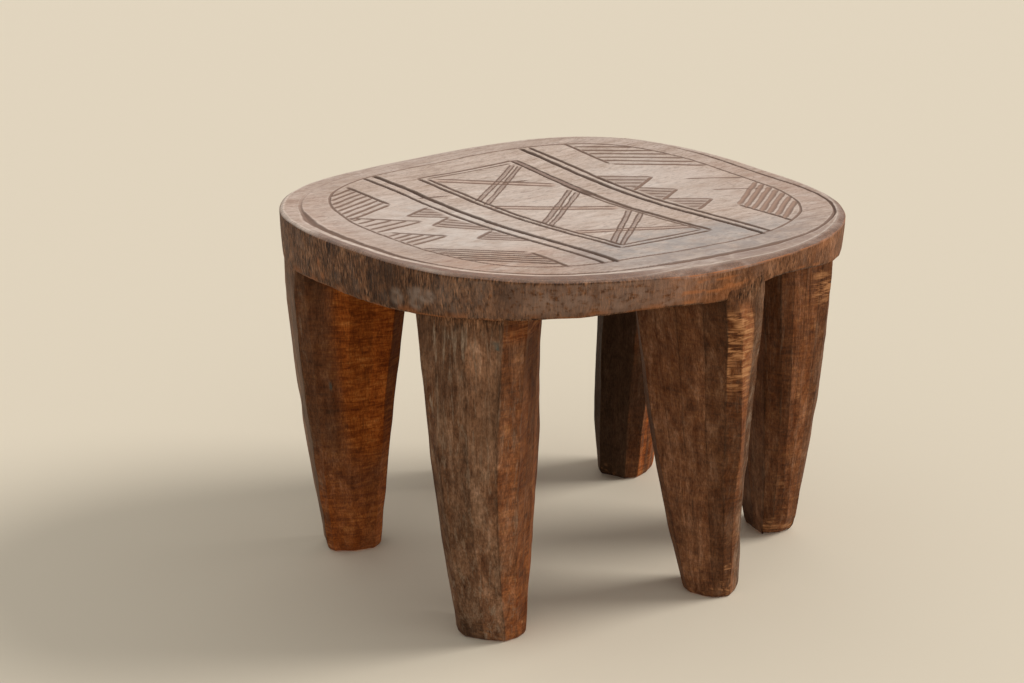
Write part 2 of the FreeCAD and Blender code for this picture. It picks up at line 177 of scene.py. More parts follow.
def compass(angle):
    """An angle in degrees, from 0 to 360."""
    return np.mod(np.degrees(angle), 360)


def stretch(angle, span):
    """How far an angle lies in a stretch of the rim."""
    degrees = compass(angle)
    return step(degrees, *span[:2]) * (1 - step(degrees, *span[2:]))


def rim_foot(angle):
    """Height of the rim's lower edge, with the slight waver of a hand-cut line."""
    knots = np.array(RIM_FOOT + ((RIM_FOOT[0][0] + 360, RIM_FOOT[0][1]),), float)
    degrees = compass(angle)
    total = 0
    for shift in (-4, -2, 0, 2, 4):
        total = total + np.interp(np.mod(degrees + shift, 360), knots[:, 0], knots[:, 1])
    return total / 5 + 0.6 * noise(degrees / 7, 0.5, 31) + 0.4 * noise(degrees / 1.6, 0.5, 32)


def top_surface(x, y):
    """The dished top, which is warped up at the back right and front left corners."""
    front = (4 - y) / 180
    right = x / 205
    dish = 13.3 * front ** 2 + 5.9 * right ** 2 - 8.4 * front ** 4 - right ** 4
    warp = -5.6 * front * right + 3.5 * front ** 2 * right - 2.8 * front * right ** 2
    degrees = compass(np.arctan2(y, x))
    knots = np.array(RIM_RISE, float)
    inner = RISE_INWARD * (1 - step(degrees, 196, 232))
    rise = np.interp(degrees, knots[:, 0], knots[:, 1])
    raised = rise * step(RIM_GROOVE.gap(x, y) + inner, 0, RISE_REACH + inner)
    return RIM_LEVEL - DISH_DEPTH + dish + warp + raised


def around(angle):
    """Way round the rim in millimetres, beginning at the middle of the back."""
    return np.mod(angle - math.pi / 2, 2 * math.pi) * HALF_LONG


def edge_bevel(angle):
    """Width and drop of the bevel round the top: narrow and crisp, broad at the front right."""
    broad = stretch(angle, BROAD_BEVEL)
    waver = noise(around(angle) / 23, 0.5, 35)
    deep = broad * (1 - 0.8 * step(compass(angle), 266, 284))
    return 2.8 + 2.6 * broad + 3.6 * deep + 0.4 * waver, 1.5 + 1.7 * deep + 0.25 * waver


def wall_marks(angle, z):
    """Hewn flats round the wall of the rim, a fraction of a millimetre deep."""
    along = around(angle)
    return 0.9 * scoops(along / 27, z / 70, 41) + 0.14 * noise(along / 2.1, z / 26, 42) - 0.35


def wall_radius(angle, z):
    """The rim's wall: upright, drawn in a little towards its lower edge."""
    foot = rim_foot(angle)
    share = np.clip((RIM_LEVEL - z) / (RIM_LEVEL - foot), 0, 1)
    return OUTLINE.radius(angle) - WALL_DRAFT * share ** 2 + wall_marks(angle, z) * step(share, 0, 0.25)


def under_surface(x, y):
    """The hewn underside, from the rim's lower edge to the middle."""
    angle = np.arctan2(y, x)
    share = np.hypot(x, y) / OUTLINE.radius(angle)
    level = UNDER_MIDDLE + (rim_foot(angle) - UNDER_MIDDLE) * step(share, 0.45, 1.0)
    return level - (2.6 * scoops(x / 46, y / 24, 51) - 0.6) * (1 - step(share, 0.93, 1.0))


# Incised pattern of the top

CUT_WIDTH = 1.7
CUT_DEPTH = 1.3
CROSS_GAP = 7.5
FAN_REACH = 140
FAN_TINT = 0.14
TRIANGLE_TINT = 0.45
HATCH_COUNT = 4


class Carving:
    """Collects the depth and the tint of all cuts at the points of the top."""

    def __init__(self, x, y):
        self.x = x
        self.y = y
        self.depth, self.groove, self.fresh, self.lip = np.zeros((4, *x.shape))
        self.edge, self.stain, self.red = np.zeros((3, *x.shape))
        self.count = 0

    def engrave(self, where, away, strength, depth, fresh):
        """Sink a cut; away is the distance from its middle in half widths."""
        sunk = depth * strength * np.clip(1 - away, 0, 1) ** 0.85
        tint = np.clip(1.6 * strength, 0, 1) * np.clip((1.15 - away) / 0.5, 0, 1)
        stronger = tint > self.groove[where]
        self.fresh[where] = np.where(stronger, fresh, self.fresh[where])
        self.groove[where] = np.maximum(self.groove[where], tint)
        self.depth[where] = np.maximum(self.depth[where], sunk)
        border = np.clip(1.6 * strength, 0, 1) * np.clip(1 - np.abs(away - 0.85) / 0.28, 0, 1)
        self.edge[where] = np.maximum(self.edge[where], border)
        raised = strength * np.clip(1 - np.abs(away - 1.35) / 0.4, 0, 1)
        self.lip[where] = np.maximum(self.lip[where], raised)

    def line(self, start, end, width, depth, fresh, taper=5.0):
        """One straight cut of the knife, a little unsteady, running out at both ends."""
        self.count += 1
        width, depth = width * CUT_WIDTH, depth * CUT_DEPTH
        span = math.hypot(end[0] - start[0], end[1] - start[1])
        way = direction(start, end)
        far_x, far_y = self.x - start[0], self.y - start[1]
        along = far_x * way[0] + far_y * way[1]
        across = far_y * way[0] - far_x * way[1]
        where = np.nonzero((np.abs(across) < 3 * width + 2) & (along > -2) & (along < span + 2))[0]
        along, across = along[where], across[where]
        waver = 0.45 * noise(along / 17, self.count * 3.3, 61) + 0.15 * noise(along / 5, 0.2, self.count)
        half = width / 2 * (1 + 0.16 * noise(along / 9, self.count * 1.7, 62))
        ends = np.minimum(step(along, -1.5, taper), step(span - along, -1.5, taper))
        depth_here = ends * (0.85 + 0.3 * noise(along / 12, self.count * 2.9, 63))
        away = np.abs(across - waver) / (half * (0.35 + 0.65 * ends))
        self.engrave(where, away, depth_here, depth, fresh)

    def ring(self, ring, width, depth, fresh, strength):
        """One cut along a closed curve; strength says how deep it is at each angle."""
        gap = ring.gap(self.x, self.y)
        where = np.nonzero(np.abs(gap) < 8)[0]
        angle = np.arctan2(self.y[where], self.x[where])
        along = around(angle)
        waver = 0.9 * noise(along / 31, 0.5, 64) + 0.3 * noise(along / 8, 0.5, 65)
        half = width(angle) / 2 * (1 + 0.22 * noise(along / 10, 0.5, 66))
        self.engrave(where, np.abs(gap[where] - waver) / half, strength(angle), depth, fresh)

    def fill(self, corners, amount, red=0.0):
        """Darken and redden the wood inside a convex shape that stays inside the border."""
        turn = 0
        for a, b in zip(corners, corners[1:] + corners[:1]):
            turn += a[0] * b[1] - a[1] * b[0]
        inside = -BORDER.gap(self.x, self.y)
        for a, b in zip(corners, corners[1:] + corners[:1]):
            way = direction(a, b)
            across = (self.y - a[1]) * way[0] - (self.x - a[0]) * way[1]
            inside = np.minimum(inside, across * math.copysign(1, turn))
        filled = np.clip(inside / 1.5 + 0.5, 0, 1)
        self.stain = np.maximum(self.stain, amount * filled)
        self.red = np.maximum(self.red, red * filled)

    def channel(self, start, end, width, line, stain, red, depth, fresh, taper):
        """A shallow flat cut between two parallel knife lines."""
        way = direction(start, end)
        shift = (-way[1] * width / 2, way[0] * width / 2)
        first = [(p[0] + shift[0], p[1] + shift[1]) for p in (start, end)]
        second = [(p[0] - shift[0], p[1] - shift[1]) for p in (start, end)]
        self.fill([first[0], first[1], second[1], second[0]], stain, red)
        self.line(*first, line, depth, fresh, taper)
        self.line(*second, line, depth, fresh, taper)

    def fan(self, tip, top, way, count, width, depth, fresh):
        """Side-by-side cuts from the line between tip and top out to the border."""
        for index in range(count):
            start = between(tip, top, index / count)
            self.line(start, BORDER.meet(start, way), width, depth, fresh, taper=6.0)
        ends = [(p[0] + way[0] * FAN_REACH, p[1] + way[1] * FAN_REACH) for p in (top, tip)]
        self.fill([tip, top] + ends, FAN_TINT)


def between(a, b, share):
    """The point part of the way from a to b."""
    return tuple(p + (q - p) * share for p, q in zip(a, b))


def direction(a, b):
    """Unit step from a towards b."""
    span = math.hypot(b[0] - a[0], b[1] - a[1])
    return ((b[0] - a[0]) / span, (b[1] - a[1]) / span)


def carve_bands(carving):
    """The two double bands that cross the seat from front to back, and the closed borders."""
    def groove_width(angle):
        return 2.7 + 5.6 * stretch(angle, LEFT_HOLLOW) + 2.0 * stretch(angle, RIGHT_HOLLOW)

    def groove_strength(angle):
        back = step(np.sin(angle), 0.15, 0.75)
        right = step(np.cos(angle), 0.5, 0.9)
        return np.maximum(1 - back - 0.35 * right, 0.12)

    carving.ring(RIM_GROOVE, groove_width, 1.8, 0.4, groove_strength)
    carving.ring(BORDER, lambda angle: 2.2 + 0 * angle, 1.1, 0.4, lambda angle: 0.6 + 0 * angle)
    for cut in (
        ((-83, 162), (-81, -160), 2.2, 1.3, 0.2),
        ((-72, 164), (-70, -161), 3.1, 1.7, 0.1),
        ((75, 162), (68, -158), 2.8, 1.5, 0.1),
        ((83, 160), (77, -156), 2.3, 1.2, 0.25),
    ):
        carving.line(*cut)


def carve_panel(carving):
    """The long panel in the middle with its three crosses."""
    back_left, back_right = (-47, 134), (50, 136)
    front_left, front_right = (-44, -131), (44, -127)
    for cut in (
        (back_left, front_left, 2.3, 1.2, 0.2),
        ((-41, 129), (-38, -126), 2.0, 1.1, 0.25),
        (back_left, back_right, 2.0, 1.0, 0.35),
        ((-40, 129), (44, 130), 1.6, 0.8, 0.4),
        (front_left, front_right, 2.2, 1.2, 0.15),
        ((-37, -124), (39, -121), 1.9, 1.0, 0.25),
    ):
        carving.line(*cut)
    carving.channel(back_right, (47, 18), 5.6, 1.3, 1.0, 0.0, 1.2, 0.25, 4.0)
    carving.line((48, 40), front_right, 2.6, 1.4, 0.35)
    carving.line((44, 60), (39, -121), 1.6, 0.8, 0.5)
    crosses = (
        ((-39, 122), (39, 60), (41, 124), (-42, 53), (44, 118), (-42, 41)),
        ((-44, 32), (38, -23), (40, 42), (-40, -32), (41, 33), (-40, -41)),
        ((-39, -69), (44, -110), (39, -36), (-38, -114), (40, -49), (-38, -124)),
    )
    for flat_a, flat_b, steep_a, steep_b, next_a, next_b in crosses:
        carving.channel(flat_a, flat_b, CROSS_GAP, 2.0, 0.12, 0.22, 0.7, 0.55, 7.0)
        carving.channel(steep_a, steep_b, 3.8, 0.8, 0.62, 0.0, 0.8, 0.35, 1.5)
        carving.channel(next_a, next_b, 3.6, 0.8, 0.58, 0.0, 0.8, 0.35, 1.5)
    carving.line((4, 87), (28, 82), 2.0, 0.8, 0.3)


def carve_left(carving):
    """Hatched fans and triangles left of the bands."""
    fan_top, fan_tip, fan_end = (-110, 141), (-108, 77), (-146, 57)
    carving.line(fan_top, fan_tip, 2.2, 1.1, 0.3)
    carving.fan(fan_tip, fan_top, direction(fan_tip, fan_end), 8, 2.0, 1.0, 0.4)
    for upper, tip, lower, count in (
        ((-158, 56), (-113, 22), (-161, 8), 5),
        ((-153, 4), (-122, -27), (-165, -42), 5),
    ):
        carving.line(upper, tip, 2.1, 1.0, 0.4)
        carving.fan(tip, upper, direction(tip, lower), count, 2.1, 1.0, 0.4)
    top, corner, foot = (-165, -49), (-105, -106), (-108, -155)
    carving.line(corner, foot, 2.0, 1.0, 0.45)
    carving.fan(corner, foot, direction(corner, top), 6, 2.0, 1.2, 0.3)
    triangles = (
        ((-86, 57), (-116, 40), (-88, 22)),
        ((-89, 23), (-114, 6), (-82, -32)),
        ((-86, -31), (-110, -47), (-82, -76)),
    )
    for upper, tip, lower in triangles:
        carving.fill([upper, tip, lower], TRIANGLE_TINT)
        carving.line(upper, tip, 1.9, 0.9, 0.35)
        for index in range(HATCH_COUNT):
            start = between(tip, upper, index / HATCH_COUNT)
            carving.line(start, between(lower, upper, index / HATCH_COUNT), 1.6, 0.7, 0.45)
    carving.line((-80, 83), (-52, 77), 1.4, 0.6, 0.2)


def carve_right(carving):
    """Hatched fans, triangles and thin lines right of the bands."""
    top, corner, end = (113, 148), (112, 82), (177, 36)
    carving.line(top, corner, 1.9, 0.9, 0.45)
    carving.fan(corner, top, direction(corner, end), 6, 2.1, 0.9, 0.6)
    triangles = (
        ((81, 62), (120, 35), (82, 11)),
        ((86, 20), (113, -5), (82, -25)),
        ((85, -21), (115, -46), (82, -68)),
    )
    for upper, tip, lower in triangles:
        carving.fill([upper, tip, lower], TRIANGLE_TINT)
        carving.line(tip, lower, 1.9, 0.9, 0.5)
        for index in range(HATCH_COUNT):
            start = between(upper, lower, index / 4.4)
            carving.line(start, between(tip, lower, index / 4.4), 1.8, 0.8, 0.5)
    carving.line((138, 16), (180, -11), 1.4, 0.6, 0.4)
    carving.line((134, -23), (170, -46), 1.4, 0.6, 0.4)
    fan_top, fan_tip, fan_end = (159, -42), (117, -75), (111, -141)
    carving.line(fan_tip, fan_end, 2.0, 1.0, 0.4)
    carving.fan(fan_tip, fan_end, direction(fan_tip, fan_top), 7, 2.9, 0.8, 0.85)


def carve_top(x, y):
    """All the cuts of the top, in the order they cross."""
    carving = Carving(x, y)
    carve_bands(carving)
    carve_panel(carving)
    carve_left(carving)
    carve_right(carving)
    return carving


# Meshes

class Shell:
    """Points, faces and named fields of one mesh that grows ring by ring."""

    def __init__(self, fields):
        self.points = []
        self.faces = []
        self.fields = {name: [] for name in fields}
        self.total = 0

    def add(self, x, y, z, **values):
        """Add a set of points and return their numbers."""
        x, y, z = np.broadcast_arrays(x, y, z)
        count = x.size
        self.points.append(np.stack((x.ravel(), y.ravel(), z.ravel()), 1))
        for name, rows in self.fields.items():
            rows.append(np.broadcast_to(values.get(name, 0.0), x.shape).ravel())
        numbers = np.arange(self.total, self.total + count)
        self.total += count
        return numbers

    def stitch(self, outer, inner):
        """Join two closed rings; the second may have half as many points."""
        next_outer = np.roll(outer, -1)
        next_inner = np.roll(inner, -1)
        if len(outer) == len(inner):
            quads = np.stack((outer, inner, next_inner, next_outer), 1)
            self.faces += quads.tolist()
            return
        even, odd, following = outer[0::2], outer[1::2], np.roll(outer[0::2], -1)
        self.faces += np.stack((even, inner, odd), 1).tolist()
        self.faces += np.stack((odd, inner, next_inner, following), 1).tolist()

    def ring(self, before, angle, radius, z, **values):
        """Add a ring by angle and radius, join it to the ring before and return its numbers."""
        new = self.add(radius * np.cos(angle), radius * np.sin(angle), z, **values)
        self.stitch(before, new)
        return new

    def close(self, ring, middle):
        """Close a ring with a fan to one point."""
        middle = np.full(len(ring), middle)
        self.faces += np.stack((ring, middle, np.roll(ring, -1)), 1).tolist()

    def build(self, name, material):
        """Make the mesh object, in metres and smooth shaded."""
        points = np.concatenate(self.points) * MM
        mesh = bpy.data.meshes.new(name)
        mesh.from_pydata(points.tolist(), [], self.faces)
        for field, rows in self.fields.items():
            attribute = mesh.attributes.new(field, "FLOAT", "POINT")
            attribute.data.foreach_set("value", np.concatenate(rows).astype(np.float32))
        mesh.polygons.foreach_set("use_smooth", np.ones(len(mesh.polygons), bool))
        mesh.materials.append(material)
        mesh.update()
        piece = bpy.data.objects.new(name, mesh)
        bpy.context.scene.collection.objects.link(piece)
        return piece


# Seat

GRID = 561
SEAT_FIELDS = ("groove", "fresh", "edge", "stain", "painted_sheen", "wall", "wear", "ash", "rust", "dark")
WALL_RINGS = 16
UNDER_RINGS = 56
LOOP = 4 * (GRID - 1)
FEWEST_POINTS = 70

# Marks on the wall: kind, place and size in degrees and millimetres of height, and strength
WALL_SPOTS = (
    ("scuff", (203.7, 266), (2.2, 9), 0.9),
    ("scuff", (209.5, 272), (4.0, 7), 1.0),
    ("scuff", (208.0, 266), (2.0, 8), 0.8),
    ("scuff", (214.0, 274), (3.0, 7), 0.3),
    ("rust", (178.1, 268), (0.9, 5), 0.6),
    ("rust", (179.2, 259), (0.9, 4), 0.5),
    ("rust", (206.9, 259), (2.2, 4), 0.9),
    ("strokes", (264.0, 271), (13.0, 9), 1.0),
    ("dark", (207.7, 257), (2.4, 5), 0.9),
    ("dark", (255.6, 262), (1.6, 4), 0.9),
    ("dark", (262.5, 260), (1.4, 4), 0.8),
)

# Rings of the bevel, from the top to the wall: share of its width, share of its drop, and how worn,
# dark, stained and rusty each ring is
BEVEL_RINGS = (
    (0.04, 0.02, 1.0, 0.1, 0.5, 0.0),
    (0.10, 0.08, 1.0, 0.35, 0.9, 0.0),
    (0.40, 0.38, 1.0, 0.5, 1.0, 0.0),
    (0.70, 0.69, 0.6, 0.65, 1.0, 0.0),
    (0.90, 0.90, 0.3, 0.8, 1.0, 0.1),
    (0.97, 0.98, 0.2, 0.85, 0.9, 0.5),
    (1.00, 1.08, 0.1, 0.95, 0.9, 1.5),
    (1.00, 1.24, 0.0, 1.0, 0.9, 0.5),
)


def seat_grid():
    """A square grid bent to the outline: x, y and the grid's outer loop, counter-clockwise."""
    line = np.linspace(-1, 1, GRID)
    across, along = np.meshgrid(line, line)
    disc_x = across * np.sqrt(1 - along ** 2 / 2)
    disc_y = along * np.sqrt(1 - across ** 2 / 2)
    angle = np.arctan2(disc_y, disc_x)
    reach = np.hypot(disc_x, disc_y) * (OUTLINE.radius(angle) - edge_bevel(angle)[0])
    numbers = np.arange(GRID * GRID).reshape(GRID, GRID)
    loop = np.concatenate((numbers[0, :-1], numbers[:-1, -1], numbers[-1, :0:-1], numbers[:0:-1, 0]))
    return reach * np.cos(angle), reach * np.sin(angle), numbers, loop


def top_fields(x, y, carving):
    """Wear, stain and warmth of the top, and its ash and painted sheen."""
    angle = np.arctan2(y, x)
    inward = OUTLINE.radius(angle) - edge_bevel(angle)[0] - np.hypot(x, y)
    broad = stretch(angle, BROAD_BEVEL)
    mottle = noise(x / 9, y / 9, 71) + 0.6 * noise(x / 3.5, y / 3.5, 72)
    wear = (1 - step(inward, 0.2, 1.6 + 0.7 * mottle)) * (0.9 - 0.2 * broad)
    wear = np.maximum(wear, (0.5 + 0.5 * patch(x, y, (-135, -110), (70, 70))) * carving.lip)
    # The grey at the front of the top is partly ash and partly painted sheen, a reflection of bright
    # surroundings laid into the colour.
    ash = 0.95 * patch(x, y, (5, -145), (150, 62)) * np.clip(0.75 + 0.35 * mottle, 0, 1)
    ring = 0.22 * step(BORDER.gap(x, y), -1, 3) * np.clip(0.9 + 0.5 * mottle, 0, 1)
    outside = RIM_GROOVE.gap(x, y)
    near = step(x, -60, 10) * step(-y, 10, 60)
    ring = ring + 0.4 * near * step(outside, -1, 2) * np.clip(0.8 + 0.5 * mottle, 0, 1)
    early = stretch(angle, FRONT_STRIP) * (1 - broad)
    left = stretch(angle, LEFT_STRIP)
    outside = outside - 2.2 * stretch(angle, LEFT_HOLLOW)
    crest = np.clip(1.4 - np.abs(outside - 5.5 - 0.4 * mottle) / 2, 0, 1)
    wear = np.maximum(wear * (1 - np.maximum(early, left)), 1.1 * crest * np.maximum(early, 0.75 * left))
    brown = np.clip(0.98 + 0.15 * mottle, 0, 1) * step(outside, 6.5, 8.5)
    brown = brown * (early + 0.85 * left)
    ring = np.maximum(ring, brown)
    rust = 0.26 * patch(x, y, (-130, -125), (75, 60)) + 0.12 * patch(x, y, (-160, 60), (60, 120))
    rust = (rust + 0.14 * patch(x, y, (180, -40), (60, 130))) * np.clip(0.6 + 0.7 * mottle, 0, 1)
    rust = np.maximum(rust, carving.red)
    # Painted sheen: pale grey patches at the left, the back right and the middle of the top stand for a
    # reflection of bright surroundings.
    painted_sheen = 0.9 * patch(x, y, (-115, 0), (80, 130)) + 0.6 * patch(x, y, (120, 20), (70, 110))
    painted_sheen = painted_sheen + 0.4 * patch(x, y, (0, 20), (62, 150))
    painted_sheen = painted_sheen * np.clip(0.75 + 0.4 * mottle, 0, 1) * (1 - carving.stain)
    stain = np.maximum(carving.stain, ring)
    looks = {"wear": wear, "ash": ash, "stain": stain, "rust": rust, "painted_sheen": painted_sheen, "wall": 0.4 * brown}
    return {**looks, "groove": carving.groove, "fresh": carving.fresh, "edge": carving.edge}


def wall_looks(angle, height, share):
    """Rust and scuffs of the wall, with the marks that stand out one by one."""
    degrees = compass(angle)
    along = around(angle)
    ragged = step(noise(along / 2.5, height / 2.5, 82), -0.5, 0.4)
    strokes = step(noise(along / 9, height / 1.6, 83), -0.2, 0.4)
    broad = stretch(angle, BROAD_BEVEL)
    rust = 0.25 * broad * (1 - step(share, 0, 0.1)) * step(noise(along / 7, 0.5, 77), -0.45, 0.3)
    rust = rust + 0.5 * step(share, 0.85, 1.0) * step(noise(along / 9, 0.5, 78), -0.1, 0.5)
    rust = rust + broad * (0.22 + 0.3 * step(noise(along / 16, height / 9, 84), 0.0, 0.8))
    ash = 0.22 * step(noise(along / 6, height / 12, 85), 0.2, 0.8)
    ash = ash + 0.52 * patch(degrees, height, (244, 274), (24, 26))
    ash = ash + 0.26 * patch(degrees, height, (222, 274), (16, 26))
    rust = rust + 0.14 * patch(degrees, height, (240, 272), (28, 24))
    wear = 0 * ash
    dark = 0.45 * step(share, 0.8, 1.0) * step(noise(along / 6, 0.5, 86), -0.5, 0.3)
    dark = dark + 0.4 * step(noise(along / 5, height / 20, 87), 0.25, 0.8)
    dark = dark + 0.4 * patch(degrees, height, (203, 274), (10, 30))
    hatch = step(noise(along / 1.3, height / 14, 88), 0.0, 0.5)
    dark = dark + 0.6 * (patch(degrees, height, (316, 270), (22, 26)) * hatch)
    for kind, middle, size, amount in WALL_SPOTS:
        spot = amount * patch(degrees, height, middle, size)
        if kind == "scuff":
            ash = np.maximum(ash, 0.9 * spot * (0.45 + 0.55 * ragged))
            wear = np.maximum(wear, 0.13 * spot * (0.4 + 0.6 * ragged))
        if kind == "rust":
            rust = np.maximum(rust, spot * ragged)
        if kind == "strokes":
            rust = np.maximum(rust, spot * strokes)
        if kind == "dark":
            dark = np.maximum(dark, spot * ragged)
    looks = {"rust": rust, "ash": ash, "dark": dark, "wear": wear}
    return {name: np.clip(values, 0, 1) for name, values in looks.items()}


def make_seat(material):
    """The seat in one closed mesh: carved top, worn edge, hewn wall and underside."""
    shell = Shell(SEAT_FIELDS)
    x, y, numbers, loop = seat_grid()
    flat_x, flat_y = x.ravel(), y.ravel()
    carving = carve_top(flat_x, flat_y)
    swell = 0.16 * noise(flat_x / 38, flat_y / 15, 73) + 0.06 * noise(flat_x / 14, flat_y / 4, 74)
    z = top_surface(flat_x, flat_y) + swell - carving.depth + 0.13 * carving.lip
    fields = top_fields(flat_x, flat_y, carving)
    shell.add(flat_x, flat_y, z, **fields)
    quads = np.stack((numbers[:-1, :-1], numbers[:-1, 1:], numbers[1:, 1:], numbers[1:, :-1]), -1)
    shell.faces += quads.reshape(-1, 4).tolist()

    ring = loop
    angle = np.arctan2(flat_y[loop], flat_x[loop])
    edge_z = top_surface(flat_x[loop], flat_y[loop])
    width, drop = edge_bevel(angle)
    broad = stretch(angle, BROAD_BEVEL)
    along = around(angle)
    for across, down, worn, dark, stain, orange in BEVEL_RINGS:
        ragged = 0.5 + 0.5 * noise(along / 4, across * 3, 76)
        mottle = 0.7 * noise(along / 13, across * 2, 75) + 0.5 * noise(along / 5, across * 3, 74)
        chip = 1.6 * across * (1 - broad) * np.clip(noise(along / 5, 0.5, 73) - 0.55, 0, 1)
        chip = chip + 0.8 * across * broad * np.clip(noise(along / 26, 0.5, 79), -0.2, 1)
        radius = OUTLINE.radius(angle) - width * (1 - across) - chip
        left = stretch(angle, LEFT_STRIP)
        strip = np.maximum(stretch(angle, FRONT_STRIP), left)
        wear = worn * (0.7 + 0.3 * ragged) * (1 - strip) + 0.9 * broad * worn * (1 - across) ** 12
        wall = dark * (1 - broad) + broad * np.clip(0.55 * dark + 0.1 + 0.2 * mottle, 0, 1)
        smear = (1 - 0.35 * left) * strip * np.clip(stain * (0.85 + 0.3 * mottle), 0, 1)
        rust = broad * orange * (0.35 + 0.65 * step(noise(along / 7, 0.5, 77), -0.45, 0.3))
        level = edge_z - drop * down - 0.6 * chip
        ring = shell.ring(ring, angle, radius, level, wall=wall, wear=wear, rust=rust, stain=smear)

    angle = angle[0::2]
    upper = (edge_z - drop * BEVEL_RINGS[-1][1])[0::2]
    lower = rim_foot(angle) + FOOT_EDGE
    for index in range(1, WALL_RINGS + 1):
        share = index / WALL_RINGS
        height = upper + (lower - upper) * share
        radius = wall_radius(angle, height)
        looks = wall_looks(angle, height, share)
        ring = shell.ring(ring, angle, radius, height, wall=1.0, **looks)

    angle = angle[0::2]
    foot = rim_foot(angle)
    for turn in (1 / 3, 2 / 3, 1.0):
        lean = turn * math.pi / 2
        radius = wall_radius(angle, foot + FOOT_EDGE) - FOOT_EDGE * (1 - math.cos(lean))
        height = foot + FOOT_EDGE * (1 - math.sin(lean))
        rust = 0.55 * step(noise(np.degrees(angle) / 3, 1.5, 80), 0.0, 0.6)
        ring = shell.ring(ring, angle, radius, height, wall=1.0, rust=rust)

    start = wall_radius(angle, foot + FOOT_EDGE) - FOOT_EDGE
    for index in range(1, UNDER_RINGS):
        share = 1 - index / UNDER_RINGS
        if share * LOOP < len(ring) * 2 and len(ring) > FEWEST_POINTS:
            angle = angle[0::2]
            start = start[0::2]
        under_x, under_y = start * share * np.cos(angle), start * share * np.sin(angle)
        warm = 0.25 + 0.25 * noise(under_x / 40, under_y / 25, 81)
        new = shell.add(under_x, under_y, under_surface(under_x, under_y), wall=1.0, rust=warm)
        shell.stitch(ring, new)
        ring = new
    centre = np.zeros(1)
    middle = shell.add(centre, centre, under_surface(centre, centre), wall=1.0, rust=0.25)
    shell.close(ring, middle[0])
    return shell.build("carved_seat", material)


# Legs

KNEE = 90
LEG_SINK = 16
COLUMN_COUNTS = (10, 10, 5, 9, 9, 9, 9, 5, 8, 8, 5, 9, 9, 9, 9, 5)
LEVELS = 170
ARRIS_SCALE = (1, 0.8, 0.55)
GATHER = 0.75
FOOT_ROUND = 4.5
FOOT_INSET = 0.07
CHIP_HEIGHT = 16
CHIPS = {"front_right": 5.5}
LEG_FIELDS = ("warm", "ash", "pale", "soot_and_shade", "teal", "shade", "rim")
LEG_SEED = 200
SEED_STEP = 40

# Each leg: the way its foot looks outward and the twist of its top, the middle of its foot, and for the
# top, knee and foot its reach outward, its reach inward and its width. Lean is how far its top stands to
# one side of the foot, spread how much wider its back is on that side, arris the flats hewn along its
# four edges, and merge how far its outer face stands proud of the rim's wall.
LEGS = {
    "front_left": {
        "turn": -139, "twist": 3.5, "foot": (-134.5, -102), "reach": (61, 42, 18), "back": (28, 36, 17),
        "width": (76, 55, 45), "lean": -4.5, "spread": 0, "arris": (10, 14, 14, 10), "merge": -0.7,
    },
    "front_middle": {
        "turn": -55, "twist": -26, "foot": (46.7, -138.9), "reach": (62, 27, 19.5), "back": (44, 36, 17.5),
        "width": (45, 32, 34), "lean": -38.5, "spread": 32, "arris": (9, 13.5, 10, 9), "merge": 0.5,
    },
    "front_right": {
        "turn": -8.5, "twist": -5.5, "foot": (163.8, -80.2), "reach": (36, 19.5, 15.5),
        "back": (34, 25.5, 15.5), "width": (83, 69, 38), "lean": 5, "spread": 0,
        "arris": (10, 9, 10, 10), "merge": -2.5,
    },
    "back_right": {
        "turn": 25, "twist": 4, "foot": (142, 87.6), "reach": (58.5, 31.5, 24), "back": (34.5, 35, 23.5),
        "width": (60, 50, 38), "lean": -16, "spread": 0, "arris": (10, 10, 12, 14), "merge": 0.4,
    },
    "back_middle": {
        "turn": 90, "twist": 2, "foot": (27, 142), "reach": (63, 31, 21), "back": (38, 34, 20),
        "width": (66, 54, 38), "lean": -6, "spread": 8, "arris": (10, 9, 11, 10), "merge": 0.4,
    },
    "back_left": {
        "turn": 157, "twist": 3, "foot": (-141.8, 88.9), "reach": (50, 33, 21), "back": (42, 27.5, 22),
        "width": (80, 62, 31), "lean": 19.5, "spread": 0, "arris": (8, 8, 10, 12), "merge": -0.6,
    },
}


def swell_line(z, sizes):
    """A size at each height, on one smooth curve through its top, knee and foot values."""
    top, knee, foot = sizes
    at_foot = (z - KNEE) * (z - LEG_TOP) / (KNEE * LEG_TOP)
    at_knee = z * (z - LEG_TOP) / (KNEE * (KNEE - LEG_TOP))
    at_top = z * (z - KNEE) / (LEG_TOP * (LEG_TOP - KNEE))
    return foot * at_foot + knee * at_knee + top * at_top


def leg_corners(shape, z):
    """Corners of a leg's section at each height: four faces in narrow strips, with flats between."""
    level = np.minimum(z, LEG_TOP)
    out = swell_line(level, shape["reach"])
    back = -swell_line(level, shape["back"])
    half = swell_line(level, shape["width"]) / 2
    scale = swell_line(level, ARRIS_SCALE)
    side = shape["lean"] * level / LEG_TOP
    right, left = side - half, side + half
    far = left + shape["spread"] * level / LEG_TOP
    first, second, third, fourth = (size * scale for size in shape["arris"])
    one_ridge = ((0.5, 1.0),)
    three_ridges = ((0.22, 2.2), (0.47, 3.4), (0.76, 2.4))
    faces = (
        ((out, right + first), (out, left - second), (1, 0), one_ridge),
        ((out - second, left), (back + third, far), (0, 1), three_ridges),
        ((back, far - third), (back, right + fourth), (-1, 0), one_ridge),
        ((back + fourth, right), (out - first, right), (0, -1), three_ridges),
    )
    corners = []
    for start, stop, way, ridges in faces:
        corners.append(start)
        for share, rise in ridges:
            corners.append(tuple(a + (b - a) * share + rise * w for a, b, w in zip(start, stop, way)))
        corners.append(stop)
    return corners


